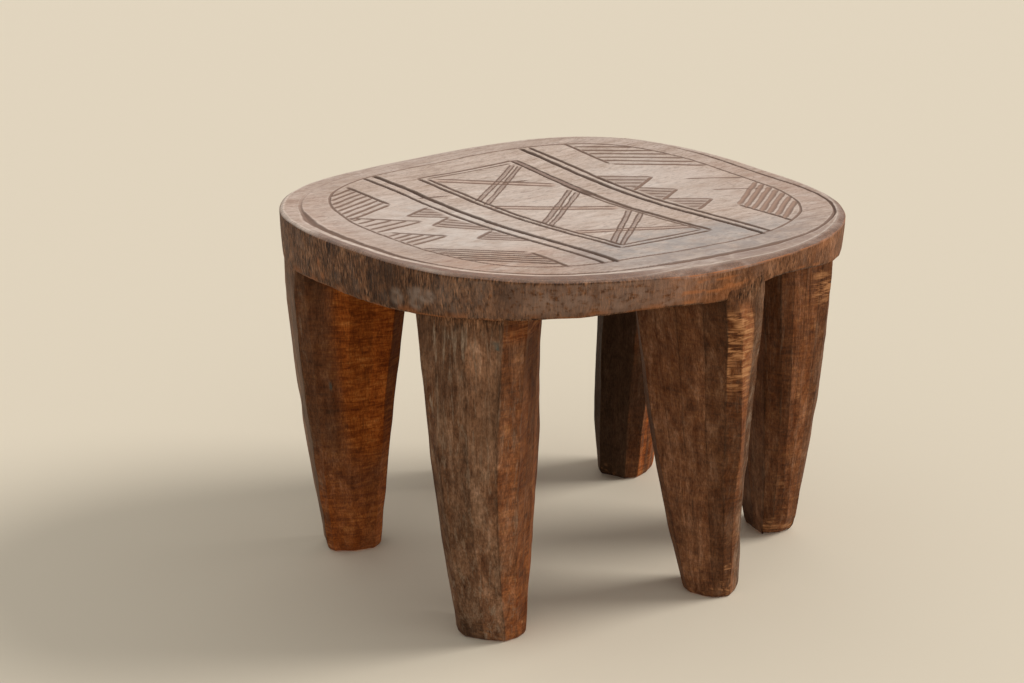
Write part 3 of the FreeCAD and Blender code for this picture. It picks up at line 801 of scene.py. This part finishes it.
def leg_sections(shape, z, seed):
    """Sections of a leg by height: out and side coordinates of all columns."""
    columns = []
    wandering = []
    for index, (place_out, place_side) in enumerate(leg_corners(shape, z)):
        stray_out = 1.0 * noise(z / 70, index * 2.3, seed) + 0.5 * noise(z / 17, index * 3.1, seed + 1)
        stray_side = 1.0 * noise(z / 70, index * 2.9, seed + 2) + 0.5 * noise(z / 17, index * 3.7, seed + 3)
        wandering.append((place_out + stray_out, place_side + stray_side))
    for index, count in enumerate(COLUMN_COUNTS):
        start, stop = wandering[index], wandering[(index + 1) % len(wandering)]
        even = np.arange(count) / count
        for share in even - GATHER * np.sin(2 * math.pi * even) / (2 * math.pi):
            columns.append(tuple(a + (b - a) * share for a, b in zip(start, stop)))
    outs = np.stack([column[0] for column in columns], 1)
    sides = np.stack([column[1] for column in columns], 1)
    return outs, sides


def strip_looks(seed):
    """For every column of a leg: the tone of the strip it lies in, a painted shade that makes each hewn
    facet lighter or darker, and how near it is to an arris.
    """
    counts = np.array(COLUMN_COUNTS)
    strip = np.repeat(np.arange(len(counts)), counts)
    tone = hashed(strip, strip * 0 + 3, seed) - 0.5
    tone = tone - 0.35 * np.sign(tone) * (np.abs(tone) < 0.12)
    arris = np.zeros(len(strip))
    arris[np.cumsum(counts) - counts] = 1
    arris = np.maximum(arris, 0.35 * np.maximum(np.roll(arris, 1), np.roll(arris, -1)))
    return tone[None, :], arris[None, :]


def fleck(place, middle, across, upright):
    """A small upright fleck of paint at one place."""
    x, y, z = place
    away = np.hypot(x - middle[0], y - middle[1]) / across
    return 1 - step(np.maximum(away, np.abs(z - middle[2]) / upright), 0.6, 1.0)


def leg_looks(name, faces, place, along, across, seed):
    """Tints and painted shade of a leg, by the way its surface looks and by place."""
    outer, back, left, right = faces
    x, y, z = place
    tone, arris = strip_looks(seed)
    streak = 0.5 + 0.5 * noise(along / 2.6, z / 70, seed + 5)
    broad = 0.5 + 0.5 * noise(along / 14, z / 60, seed + 6)
    mottle = 0.5 + 0.8 * mottled(along / 9, z / 11, seed + 7)
    fine = 0.5 + 0.6 * mottled(along / 2.4, z / 2.8, seed + 8)
    low = 1 - step(z, 20, 130)
    teal = 0 * z
    warm = 0.1 + 0.2 * broad
    # Painted shade: each hewn strip lighter or darker by its tone, standing for light that falls
    # differently on the facets; some legs add painted shade on whole faces below.
    shade = 0.5 - 0.75 * tone + 0.2 * noise(z / 60, tone * 40, seed + 14)
    ash = 0.25 * streak + 0.2 * arris * step(noise(z / 13, arris * 9, seed + 10), -0.2, 0.5)
    pale = 0.3 * (1 - step(z, 2, 26)) * step(mottle * fine, 0.3, 0.5)
    soot_and_shade = 0.3 * step(broad, 0.55, 0.9)
    soot_and_shade = soot_and_shade + 0.65 * arris * step(noise(z / 19, arris * 7, seed + 15), -0.6, 0.2)
    # Painted shade: every leg darker just under the rim, where the seat shades it.
    soot_and_shade = soot_and_shade + 0.5 * step(z, 236, 256)
    if name == "front_left":
        flank = step(left, 0.25, 0.6)
        warm = warm - 0.1 * outer + flank * (0.3 + 0.5 * low * mottle + 0.7 * step(z, 240, 248))
        grey = np.maximum(step(z, 120, 190), 0.8 * (1 - step(z, 40, 90))) * step(broad, 0.3, 0.6)
        ash = ash + (1 - flank) * (0.2 + 0.55 * grey)
        pale = pale + 0.6 * flank * low * step(mottle * fine, 0.38, 0.55) + 0.3 * flank * step(z, 240, 248)
        soot_and_shade = soot_and_shade * (1 - 0.4 * flank)
        teal = 0.6 * fleck(place, (-167.3, -155.2, 242), 1.6, 3.5)
    if name == "back_left":
        flank = step(left, 0.2, 0.5)
        # The orange patch on the side face, and the side face's lighter shade, are partly the wood's rusty
        # colour and partly painted warm light thrown up from below.
        bright = step(x + 0.12 * (z - 160), -184, -164) * step(z, 60, 130) + 0.45 * low
        warm = warm - 0.1 * outer + flank * (0.2 + 0.85 * bright)
        shade = shade + 0.35 * flank
        ash = ash * (1 - flank) + 0.7 * outer * streak
        # Painted shade: the side face dark at its upper left and along its top, under the seat.
        under_seat_shade = 0.6 * (1 - bright) * step(z, 40, 120) + 0.3 * step(z, 215, 250)
        soot_and_shade = soot_and_shade * (1 - flank) + flank * under_seat_shade
        soot_and_shade = soot_and_shade + 0.8 * step(4 * left * back, 0.4, 0.9) * step(z, 70, 150)
        teal = 0.45 * fleck(place, (-180.4, 48.7, 160), 1.5, 9)
    if name == "front_middle":
        near = step(outer, 0.2, 0.5) * (1 - step(across, 0.24, 0.34))
        far = step(outer, 0.2, 0.5) * step(across, 0.28, 0.36)
        warm = warm + 0.05 * right + near * (0.3 - 0.1 * (1 - step(z, 60, 150)))
        shade = shade - 0.25 * near * (1 - step(z, 150, 200)) - 0.1 * outer
        ash = ash * (1 - 0.7 * right) + 0.5 * far * (1 - step(z, 225, 245))
        high = step(z, 165, 205) * (1 - step(z, 240, 252))
        pale = pale + 1.2 * near * high * step(mottle, 0.1, 0.4)
        pale = pale + 0.5 * near * (1 - step(z, 30, 75)) * step(mottle * fine, 0.3, 0.5)
        pale = pale + 0.3 * (1 - step(z, 20, 60)) * step(mottle * fine, 0.4, 0.6)
        soot_and_shade = soot_and_shade * (1 - outer) + right * 0.15 * step(broad, 0.25, 0.7)
        soot_and_shade = soot_and_shade + 0.25 * outer * (1 - step(z, 130, 190))
    if name == "front_right":
        warm = warm + 0.25 * right
        pale = pale + 0.9 * right * patch(x, z, (168, 220), (13, 20)) * step(mottle, 0.2, 0.5)
        pale = pale + 0.75 * right * (1 - step(z, 8, CHIP_HEIGHT)) * step(mottle, 0.1, 0.5)
        pale = pale + 0.4 * right * (1 - step(z, 40, 80)) * step(mottle * fine, 0.4, 0.55)
        pale = pale + 0.9 * fleck(place, (151, -116.8, 134), 2.4, 8)
        soot_and_shade = soot_and_shade + 0.1 * back + 0.2 * right
    if name == "back_right":
        smudge = 0.5 + 0.8 * mottled(along / 8, z / 40, seed + 17)
        warm = warm - 0.2 * back + right * (0.35 + 0.4 * step(smudge, 0.3, 0.8))
        ash = ash * (1 - back)
        # Painted shadow: the back face made nearly black, where the seat shades it.
        shade = shade - 0.4 * back
        soot_and_shade = soot_and_shade * (1 - right) + 1.1 * back + 0.4 * right * (1 - step(smudge, 0.2, 0.6))
    return {"warm": warm, "ash": ash, "pale": pale, "soot_and_shade": soot_and_shade, "teal": teal, "shade": shade}


def make_leg(name, shape, seed, material):
    """One leg: a four-sided post with hewn arrises that swells upward and runs into the rim."""
    top = LEG_TOP + LEG_SINK
    z = np.linspace(0, top, LEVELS)
    outs, sides = leg_sections(shape, z, seed)
    heights = np.broadcast_to(z[:, None], outs.shape)
    steps = [np.diff(values, axis=1, append=values[:, :1]) for values in (outs, sides)]
    lengths = np.hypot(*steps)
    along = np.cumsum(lengths[LEVELS // 2])[None, :] + 0 * heights
    tangent_out = np.roll(outs, -1, 1) - np.roll(outs, 1, 1)
    tangent_side = np.roll(sides, -1, 1) - np.roll(sides, 1, 1)
    size = np.hypot(tangent_out, tangent_side)
    normal_out, normal_side = tangent_side / size, -tangent_out / size
    hewn = 0.9 * scoops(along / 14, heights / 120, seed + 11) - 0.3
    hewn = hewn + 0.14 * noise(along / 3, heights / 30, seed + 12)
    outs = outs + hewn * normal_out
    sides = sides + hewn * normal_side
    tuck = 1 - FOOT_INSET * np.clip(1 - heights / FOOT_ROUND, 0, 1) ** 2
    outs, sides = outs * tuck, sides * tuck
    pared = CHIPS.get(name, 0) * np.clip(1 - heights / CHIP_HEIGHT, 0, 1)
    sides = sides + pared * np.clip(-normal_side, 0, 1)

    level = np.minimum(z, LEG_TOP)[:, None]
    turn = np.radians(shape["turn"] + shape["twist"] * level / LEG_TOP)
    x = shape["foot"][0] + outs * np.cos(turn) - sides * np.sin(turn)
    y = shape["foot"][1] + outs * np.sin(turn) + sides * np.cos(turn)
    angle = np.arctan2(y, x)
    reach = np.hypot(x, y)
    foot = rim_foot(angle)
    ragged = 3 * noise(around(angle) / 5, 0.5, seed + 13)
    merge = shape["merge"]
    proud = merge - (abs(merge) + 1.5) * step(heights, foot + 4 + ragged, foot + 13 + ragged)
    limit = wall_radius(angle, np.maximum(heights, foot)) + proud
    pulled = np.minimum(reach, limit) / reach
    x, y = x * pulled, y * pulled

    faces = tuple(np.clip(side, 0, 1) ** 2 for side in (normal_out, -normal_out, normal_side, -normal_side))
    near, far = sides.min(1, keepdims=True), sides.max(1, keepdims=True)
    looks = leg_looks(name, faces, (x, y, heights), along, (sides - near) / (far - near), seed)
    looks["rim"] = faces[0] * step(heights, foot - 14 + 2 * ragged, foot + 1)
    shell = Shell(LEG_FIELDS)
    rings = []
    for index in range(LEVELS):
        fields = {field: np.clip(values[index], 0, 1) for field, values in looks.items()}
        rings.append(shell.add(x[index], y[index], heights[index], **fields))
    for lower, upper in zip(rings, rings[1:]):
        shell.stitch(upper, lower)
    cap_leg(shell, rings[0], x[0], y[0], z[0], False)
    cap_leg(shell, rings[-1], x[-1], y[-1], z[-1], True)
    return shell.build(f"carved_leg_{name}", material)


def cap_leg(shell, ring, ring_x, ring_y, level, upward):
    """Close one end of a leg with rings that shrink to its middle."""
    looks = {"warm": 0.4, "ash": 0.2, "pale": 0.35, "shade": 0.5}
    first = len(shell.faces)
    middle_x, middle_y = ring_x.mean(), ring_y.mean()
    for share in (3 / 4, 2 / 3, 1 / 2):
        ring_x = middle_x + (ring_x[0::2] - middle_x) * share
        ring_y = middle_y + (ring_y[0::2] - middle_y) * share
        new = shell.add(ring_x, ring_y, level, **looks)
        shell.stitch(ring, new)
        ring = new
    tip = shell.add(np.array([middle_x]), np.array([middle_y]), level, **looks)
    shell.close(ring, tip[0])
    if upward:
        shell.faces[first:] = [face[::-1] for face in shell.faces[first:]]


# Materials

def feed(tree, socket, value):
    """Link a socket, or set its value."""
    if isinstance(value, bpy.types.NodeSocket):
        tree.links.new(value, socket)
    else:
        socket.default_value = value


def reckon(tree, kind, first, second):
    """One sum of two numbers in a node tree."""
    node = tree.nodes.new("ShaderNodeMath")
    node.operation = kind
    feed(tree, node.inputs[0], first)
    feed(tree, node.inputs[1], second)
    return node.outputs[0]


class Recipe:
    """Short names for building one material's nodes."""

    def __init__(self, name):
        self.material = bpy.data.materials.new(name)
        self.material.use_nodes = True
        self.tree = self.material.node_tree
        self.shader = self.tree.nodes["Principled BSDF"]
        self.place = self.tree.nodes.new("ShaderNodeTexCoord").outputs["Object"]

    def feed(self, socket, value):
        """Link a socket, or set its value."""
        feed(self.tree, socket, value)

    def field(self, name):
        """One of the mesh's own fields."""
        node = self.tree.nodes.new("ShaderNodeAttribute")
        node.attribute_name = name
        return node.outputs["Fac"]

    def noise(self, stretch, detail=4.0, rough=0.6, warp=0.0):
        """Noise with so many features a metre along X, Y and Z."""
        mapping = self.tree.nodes.new("ShaderNodeMapping")
        mapping.inputs["Scale"].default_value = stretch
        self.feed(mapping.inputs["Vector"], self.place)
        node = self.tree.nodes.new("ShaderNodeTexNoise")
        node.inputs["Scale"].default_value = 1.0
        node.inputs["Detail"].default_value = detail
        node.inputs["Roughness"].default_value = rough
        node.inputs["Distortion"].default_value = warp
        self.feed(node.inputs["Vector"], mapping.outputs["Vector"])
        return node.outputs["Fac"]

    def ramp(self, value, *stops):
        """Colours at given values."""
        node = self.tree.nodes.new("ShaderNodeValToRGB")
        elements = node.color_ramp.elements
        while len(elements) < len(stops):
            elements.new(0.5)
        for element, (position, colour) in zip(elements, stops):
            element.position = position
            element.color = (*colour, 1.0)
        self.feed(node.inputs["Fac"], value)
        return node.outputs["Color"]

    def span(self, value, low, high, to_low=0.0, to_high=1.0):
        """Map a range of values to another, held at its ends."""
        node = self.tree.nodes.new("ShaderNodeMapRange")
        for socket, number in zip(list(node.inputs)[1:5], (low, high, to_low, to_high)):
            socket.default_value = number
        self.feed(node.inputs[0], value)
        return node.outputs[0]

    def mix(self, share, first, second, blend="MIX"):
        """Mix two colours."""
        node = self.tree.nodes.new("ShaderNodeMix")
        node.data_type = "RGBA"
        node.blend_type = blend
        self.feed(node.inputs[0], share)
        for socket, colour in ((node.inputs[6], first), (node.inputs[7], second)):
            self.feed(socket, colour if isinstance(colour, bpy.types.NodeSocket) else (*colour, 1.0))
        return node.outputs[2]

    def speckle(self, colour, stretch, amount):
        """Lighten and darken a colour in specks."""
        speck = self.noise(stretch, 2.0, 0.6, 0.2)
        return self.mix(1.0, colour, self.span(speck, 0.36, 0.64, 1 - amount, 1 + amount), "MULTIPLY")

    def plus(self, first, second):
        """Two numbers added."""
        return reckon(self.tree, "ADD", first, second)

    def times(self, first, second):
        """Two numbers multiplied."""
        return reckon(self.tree, "MULTIPLY", first, second)

    def coat(self, skin, name, strength, colour):
        """Lay a colour over another where one of the mesh's fields says so."""
        return self.mix(self.times(self.field(name), strength), skin, colour)

    def finish(self, colour, rough, height, depth):
        """Feed the shader: colour, roughness and a bump of the given depth in metres."""
        bump = self.tree.nodes.new("ShaderNodeBump")
        bump.inputs["Distance"].default_value = depth
        bump.inputs["Strength"].default_value = 1.0
        self.feed(bump.inputs["Height"], height)
        self.feed(self.shader.inputs["Base Color"], colour)
        self.feed(self.shader.inputs["Roughness"], rough)
        self.feed(self.shader.inputs["Normal"], bump.outputs["Normal"])
        return self.material


def crust(make, fibre_stretch, mottle_stretch):
    """Two noises of an old, handled skin and their sum: upright fibres over mottled patches."""
    fibre = make.noise(fibre_stretch, 6.0, 0.74, 0.5)
    mottle = make.noise(mottle_stretch, 6.0, 0.72, 0.6)
    tone = make.plus(make.times(fibre, 0.55), make.times(mottle, 0.45))
    return fibre, mottle, tone


def smoky_wall(make):
    """Colour and height of the rim's wall: dark and smoky, softly mottled, with faint upright streaks."""
    fibre, mottle, tone = crust(make, (130, 130, 44), (48, 48, 36))
    grit = make.noise((520, 520, 330), 3.0, 0.6, 0.2)
    wall = make.ramp(
        tone, (0.37, (0.031, 0.012, 0.005)), (0.46, (0.094, 0.04, 0.0175)),
        (0.54, (0.148, 0.067, 0.031)), (0.65, (0.255, 0.13, 0.068)),
    )
    wall = make.mix(make.span(grit, 0.44, 0.34, 0.0, 0.5), wall, (0.035, 0.015, 0.008))
    wall = make.mix(make.span(grit, 0.57, 0.68, 0.0, 0.4), wall, (0.24, 0.145, 0.085))
    rugged = make.plus(tone, make.times(grit, 0.3))
    return make.speckle(wall, (900, 900, 170), 0.8), rugged


def seat_wood():
    """Handled top with a pale patina and painted sheen, brown cuts and a dark, smoky wall."""
    make = Recipe("seat_wood")
    make.shader.inputs["Specular IOR Level"].default_value = 0.12
    grain = make.noise((26, 110, 80), 5.0, 0.7, 0.5)
    dash = make.noise((110, 420, 300), 3.0, 0.62, 0.2)
    cloud = make.noise((9, 13, 9), 4.0, 0.65, 0.8)
    tone = make.plus(make.times(grain, 0.55), make.times(dash, 0.45))

    top = make.ramp(
        tone, (0.37, (0.325, 0.218, 0.158)), (0.46, (0.475, 0.35, 0.272)),
        (0.54, (0.56, 0.425, 0.34)), (0.64, (0.68, 0.555, 0.462)),
    )
    top = make.mix(make.span(cloud, 0.5, 0.66, 0.0, 0.5), top, (0.38, 0.25, 0.175))
    top = make.mix(make.span(cloud, 0.46, 0.34, 0.0, 0.4), top, (0.63, 0.51, 0.43))
    speck = make.noise((240, 760, 500), 2.0, 0.55, 0.2)
    top = make.mix(make.span(dash, 0.56, 0.66, 0.0, 0.7), top, (0.21, 0.128, 0.09))
    top = make.mix(make.span(speck, 0.6, 0.7, 0.0, 0.6), top, (0.2, 0.12, 0.085))
    top = make.mix(make.span(speck, 0.4, 0.3, 0.0, 0.4), top, (0.72, 0.6, 0.5))
    # Grey of ash and painted sheen over the front of the top.
    top = make.coat(top, "ash", 0.75, (0.285, 0.255, 0.235))
    # Painted sheen: pale grey patches laid over the top.
    top = make.coat(top, "painted_sheen", 0.6, (0.64, 0.565, 0.5))
    top = make.mix(make.field("stain"), top, (0.25, 0.158, 0.119))

    wall, rugged = smoky_wall(make)
    wall = make.coat(wall, "ash", make.span(dash, 0.3, 0.5), (0.24, 0.166, 0.125))
    wall = make.coat(wall, "dark", 0.8, (0.028, 0.012, 0.006))
    skin = make.mix(make.field("wall"), top, wall)
    pale = make.ramp(dash, (0.38, (0.76, 0.63, 0.52)), (0.62, (0.5, 0.38, 0.295)))
    skin = make.coat(skin, "wear", 0.85, pale)
    skin = make.coat(skin, "rust", 0.62, (0.45, 0.148, 0.041))
    cut = make.mix(make.field("fresh"), (0.1, 0.06, 0.043), (0.35, 0.22, 0.157))
    skin = make.coat(skin, "groove", 0.95, cut)
    skin = make.coat(skin, "edge", 0.5, (0.08, 0.045, 0.032))

    rough = make.span(grain, 0.3, 0.75, 0.6, 0.48)
    rough = make.plus(rough, make.times(make.field("groove"), 0.25))
    rough = make.plus(rough, make.times(make.field("wall"), 0.08))
    height = reckon(make.tree, "SUBTRACT", make.times(grain, 0.4), make.times(dash, 0.4))
    height = make.plus(height, make.times(make.times(rugged, 2.2), make.field("wall")))
    return make.finish(skin, rough, height, 0.0008)


def leg_wood():
    """Hewn dark brown faces with grey upright threads, rusty and raw places, and painted shade."""
    make = Recipe("leg_wood")
    make.shader.inputs["Specular IOR Level"].default_value = 0.06
    fibre, mottle, tone = crust(make, (170, 170, 20), (80, 80, 55))
    thread = make.noise((620, 620, 20), 2.0, 0.55, 0.2)
    smear = make.noise((300, 300, 26), 5.0, 0.72, 0.5)
    strokes = make.noise((60, 60, 400), 4.0, 0.64, 0.7)
    blot = make.noise((26, 26, 15), 3.0, 0.6, 0.8)

    brown = make.ramp(
        tone, (0.36, (0.036, 0.016, 0.008)), (0.46, (0.112, 0.057, 0.031)),
        (0.54, (0.185, 0.1, 0.056)), (0.67, (0.36, 0.22, 0.14)),
    )
    brown = make.mix(make.span(blot, 0.5, 0.66, 0.0, 0.4), brown, (0.09, 0.045, 0.023))
    stroke_tone = make.plus(make.times(strokes, 0.55), make.times(mottle, 0.45))
    rusty = make.ramp(
        stroke_tone, (0.37, (0.11, 0.022, 0.003)), (0.46, (0.22, 0.051, 0.007)),
        (0.55, (0.33, 0.088, 0.014)), (0.67, (0.5, 0.18, 0.042)),
    )
    skin = make.mix(make.field("warm"), brown, rusty)
    # Painted shade: the shade field makes strips and faces darker or lighter.
    skin = make.mix(1.0, skin, make.span(make.field("shade"), 0.0, 1.0, 0.58, 1.42), "MULTIPLY")
    skin = make.mix(make.span(thread, 0.4, 0.3, 0.0, 0.4), skin, (0.035, 0.015, 0.007))
    # Soot, and painted shade under the seat, darken the legs where this field says so.
    skin = make.coat(skin, "soot_and_shade", 0.8, (0.03, 0.014, 0.007))
    grey = make.ramp(smear, (0.5, (0.135, 0.088, 0.057)), (0.64, (0.285, 0.2, 0.134)))
    spun = reckon(make.tree, "MAXIMUM", make.span(thread, 0.56, 0.7, 0.0, 0.7), make.span(smear, 0.5, 0.6))
    skin = make.coat(skin, "ash", spun, grey)
    skin = make.speckle(skin, (950, 950, 300), 0.25)
    raw = make.ramp(strokes, (0.46, (0.28, 0.11, 0.04)), (0.62, (0.54, 0.26, 0.112)))
    skin = make.coat(skin, "pale", make.span(strokes, 0.42, 0.54), raw)
    skin = make.mix(make.field("teal"), skin, (0.02, 0.1, 0.1))
    wall, rugged = smoky_wall(make)
    skin = make.mix(make.field("rim"), skin, wall)

    rough = make.span(fibre, 0.35, 0.65, 0.52, 0.66)
    height = make.plus(make.times(tone, 1.4), make.times(thread, 0.35))
    height = make.plus(height, make.times(strokes, 0.4))
    return make.finish(skin, rough, height, 0.001)


# Pieces

seat_material = seat_wood()
leg_material = leg_wood()
seat_piece = make_seat(seat_material)
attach(seat_piece, "root")
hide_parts("seat")
for number, (leg_name, leg_shape) in enumerate(LEGS.items()):
    leg_piece = make_leg(leg_name, leg_shape, LEG_SEED + SEED_STEP * number, leg_material)
    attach(leg_piece, "root")
    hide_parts(f"leg_{leg_name}")


# Floor, light and camera

FLOOR_HALF = 9.0
FLOOR_LEVEL = -0.0004
FLOOR_SKIN = 0.001
FLOOR_COLOUR = (0.71, 0.62, 0.48)
WORLD_STRENGTH = 0.62
FLOOR_ROUGH = 0.9
FLOOR_SHINE = 0.1

# Key lamp: bearing, rise and spread in degrees, and strength
KEY_LAMP = (-25, 38, 27, 2.2)
LAMP_DISTANCE = 4.0

# Camera: where it stands in metres, the way it looks in degrees, and its focal length in pixels
CAMERA_PLACE = (-0.808, -1.0836, 0.6215)
CAMERA_BEARING = 35.135
CAMERA_PITCH = 18.435
CAMERA_ROLL = 0.311
FOCAL_PIXELS = 1790.5
SENSOR = 36.0
IMAGE_WIDTH = 1024


def make_floor():
    """A plain pale floor, clear from below and close to the soles, so that the underside shows."""
    mesh = bpy.data.meshes.new("floor")
    corners = [(-FLOOR_HALF, -FLOOR_HALF, FLOOR_LEVEL), (FLOOR_HALF, -FLOOR_HALF, FLOOR_LEVEL)]
    corners += [(FLOOR_HALF, FLOOR_HALF, FLOOR_LEVEL), (-FLOOR_HALF, FLOOR_HALF, FLOOR_LEVEL)]
    mesh.from_pydata(corners, [], [(0, 1, 2, 3)])
    floor = bpy.data.objects.new("floor", mesh)
    bpy.context.scene.collection.objects.link(floor)
    material = bpy.data.materials.new("floor_paint")
    material.use_nodes = True
    tree = material.node_tree
    shader = tree.nodes["Principled BSDF"]
    shader.inputs["Base Color"].default_value = (*FLOOR_COLOUR, 1)
    shader.inputs["Roughness"].default_value = FLOOR_ROUGH
    shader.inputs["Specular IOR Level"].default_value = FLOOR_SHINE
    clear = tree.nodes.new("ShaderNodeBsdfTransparent")
    side = tree.nodes.new("ShaderNodeNewGeometry")
    path = tree.nodes.new("ShaderNodeLightPath")
    close = reckon(tree, "LESS_THAN", path.outputs["Ray Length"], FLOOR_SKIN)
    open_side = reckon(tree, "MAXIMUM", side.outputs["Backfacing"], close)
    either = tree.nodes.new("ShaderNodeMixShader")
    tree.links.new(open_side, either.inputs[0])
    tree.links.new(shader.outputs[0], either.inputs[1])
    tree.links.new(clear.outputs[0], either.inputs[2])
    tree.links.new(either.outputs[0], tree.nodes["Material Output"].inputs["Surface"])
    mesh.materials.append(material)


def make_world():
    """Even light all round; straight views and reflections see plain white."""
    world = bpy.data.worlds.new("studio")
    world.use_nodes = True
    tree = world.node_tree
    background = tree.nodes["Background"]
    background.inputs["Color"].default_value = (1, 1, 1, 1)
    path = tree.nodes.new("ShaderNodeLightPath")
    seen = reckon(tree, "MAXIMUM", path.outputs["Is Camera Ray"], path.outputs["Is Glossy Ray"])
    through = reckon(tree, "MAXIMUM", seen, path.outputs["Is Transmission Ray"])
    strength = tree.nodes.new("ShaderNodeMapRange")
    strength.inputs[3].default_value = WORLD_STRENGTH
    strength.inputs[4].default_value = 1.0
    tree.links.new(through, strength.inputs[0])
    tree.links.new(strength.outputs[0], background.inputs["Strength"])
    bpy.context.scene.world = world


def make_lamp(name, bearing, rise, spread, strength):
    """A distant soft lamp; bearing is counter-clockwise from +X, and all angles are in degrees."""
    lamp = bpy.data.lights.new(name, "SUN")
    lamp.angle = math.radians(spread)
    lamp.energy = strength
    turn, lift = math.radians(bearing), math.radians(rise)
    way = Vector((math.cos(turn) * math.cos(lift), math.sin(turn) * math.cos(lift), math.sin(lift)))
    holder = bpy.data.objects.new(name, lamp)
    holder.location = way * LAMP_DISTANCE
    holder.rotation_mode = "QUATERNION"
    holder.rotation_quaternion = way.to_track_quat("Z", "Y")
    bpy.context.scene.collection.objects.link(holder)


def make_camera():
    """The camera at the photograph's place and angle."""
    bearing, pitch, roll = (math.radians(a) for a in (CAMERA_BEARING, CAMERA_PITCH, CAMERA_ROLL))
    level = math.cos(pitch)
    forward = Vector((level * math.sin(bearing), level * math.cos(bearing), -math.sin(pitch)))
    right = forward.cross(Vector((0, 0, 1))).normalized()
    up = right.cross(forward)
    right_rolled = right * math.cos(roll) + up * math.sin(roll)
    up_rolled = up * math.cos(roll) - right * math.sin(roll)
    camera = bpy.data.cameras.new("camera")
    camera.sensor_width = SENSOR
    camera.lens = FOCAL_PIXELS / IMAGE_WIDTH * SENSOR
    holder = bpy.data.objects.new("camera", camera)
    matrix = Matrix((right_rolled, up_rolled, -forward)).transposed().to_4x4()
    matrix.translation = Vector(CAMERA_PLACE)
    holder.matrix_world = matrix
    bpy.context.scene.collection.objects.link(holder)
    bpy.context.scene.camera = holder


make_floor()
make_world()
make_lamp("key_lamp", *KEY_LAMP)
make_camera()
bpy.context.scene.view_settings.view_transform = "Standard"
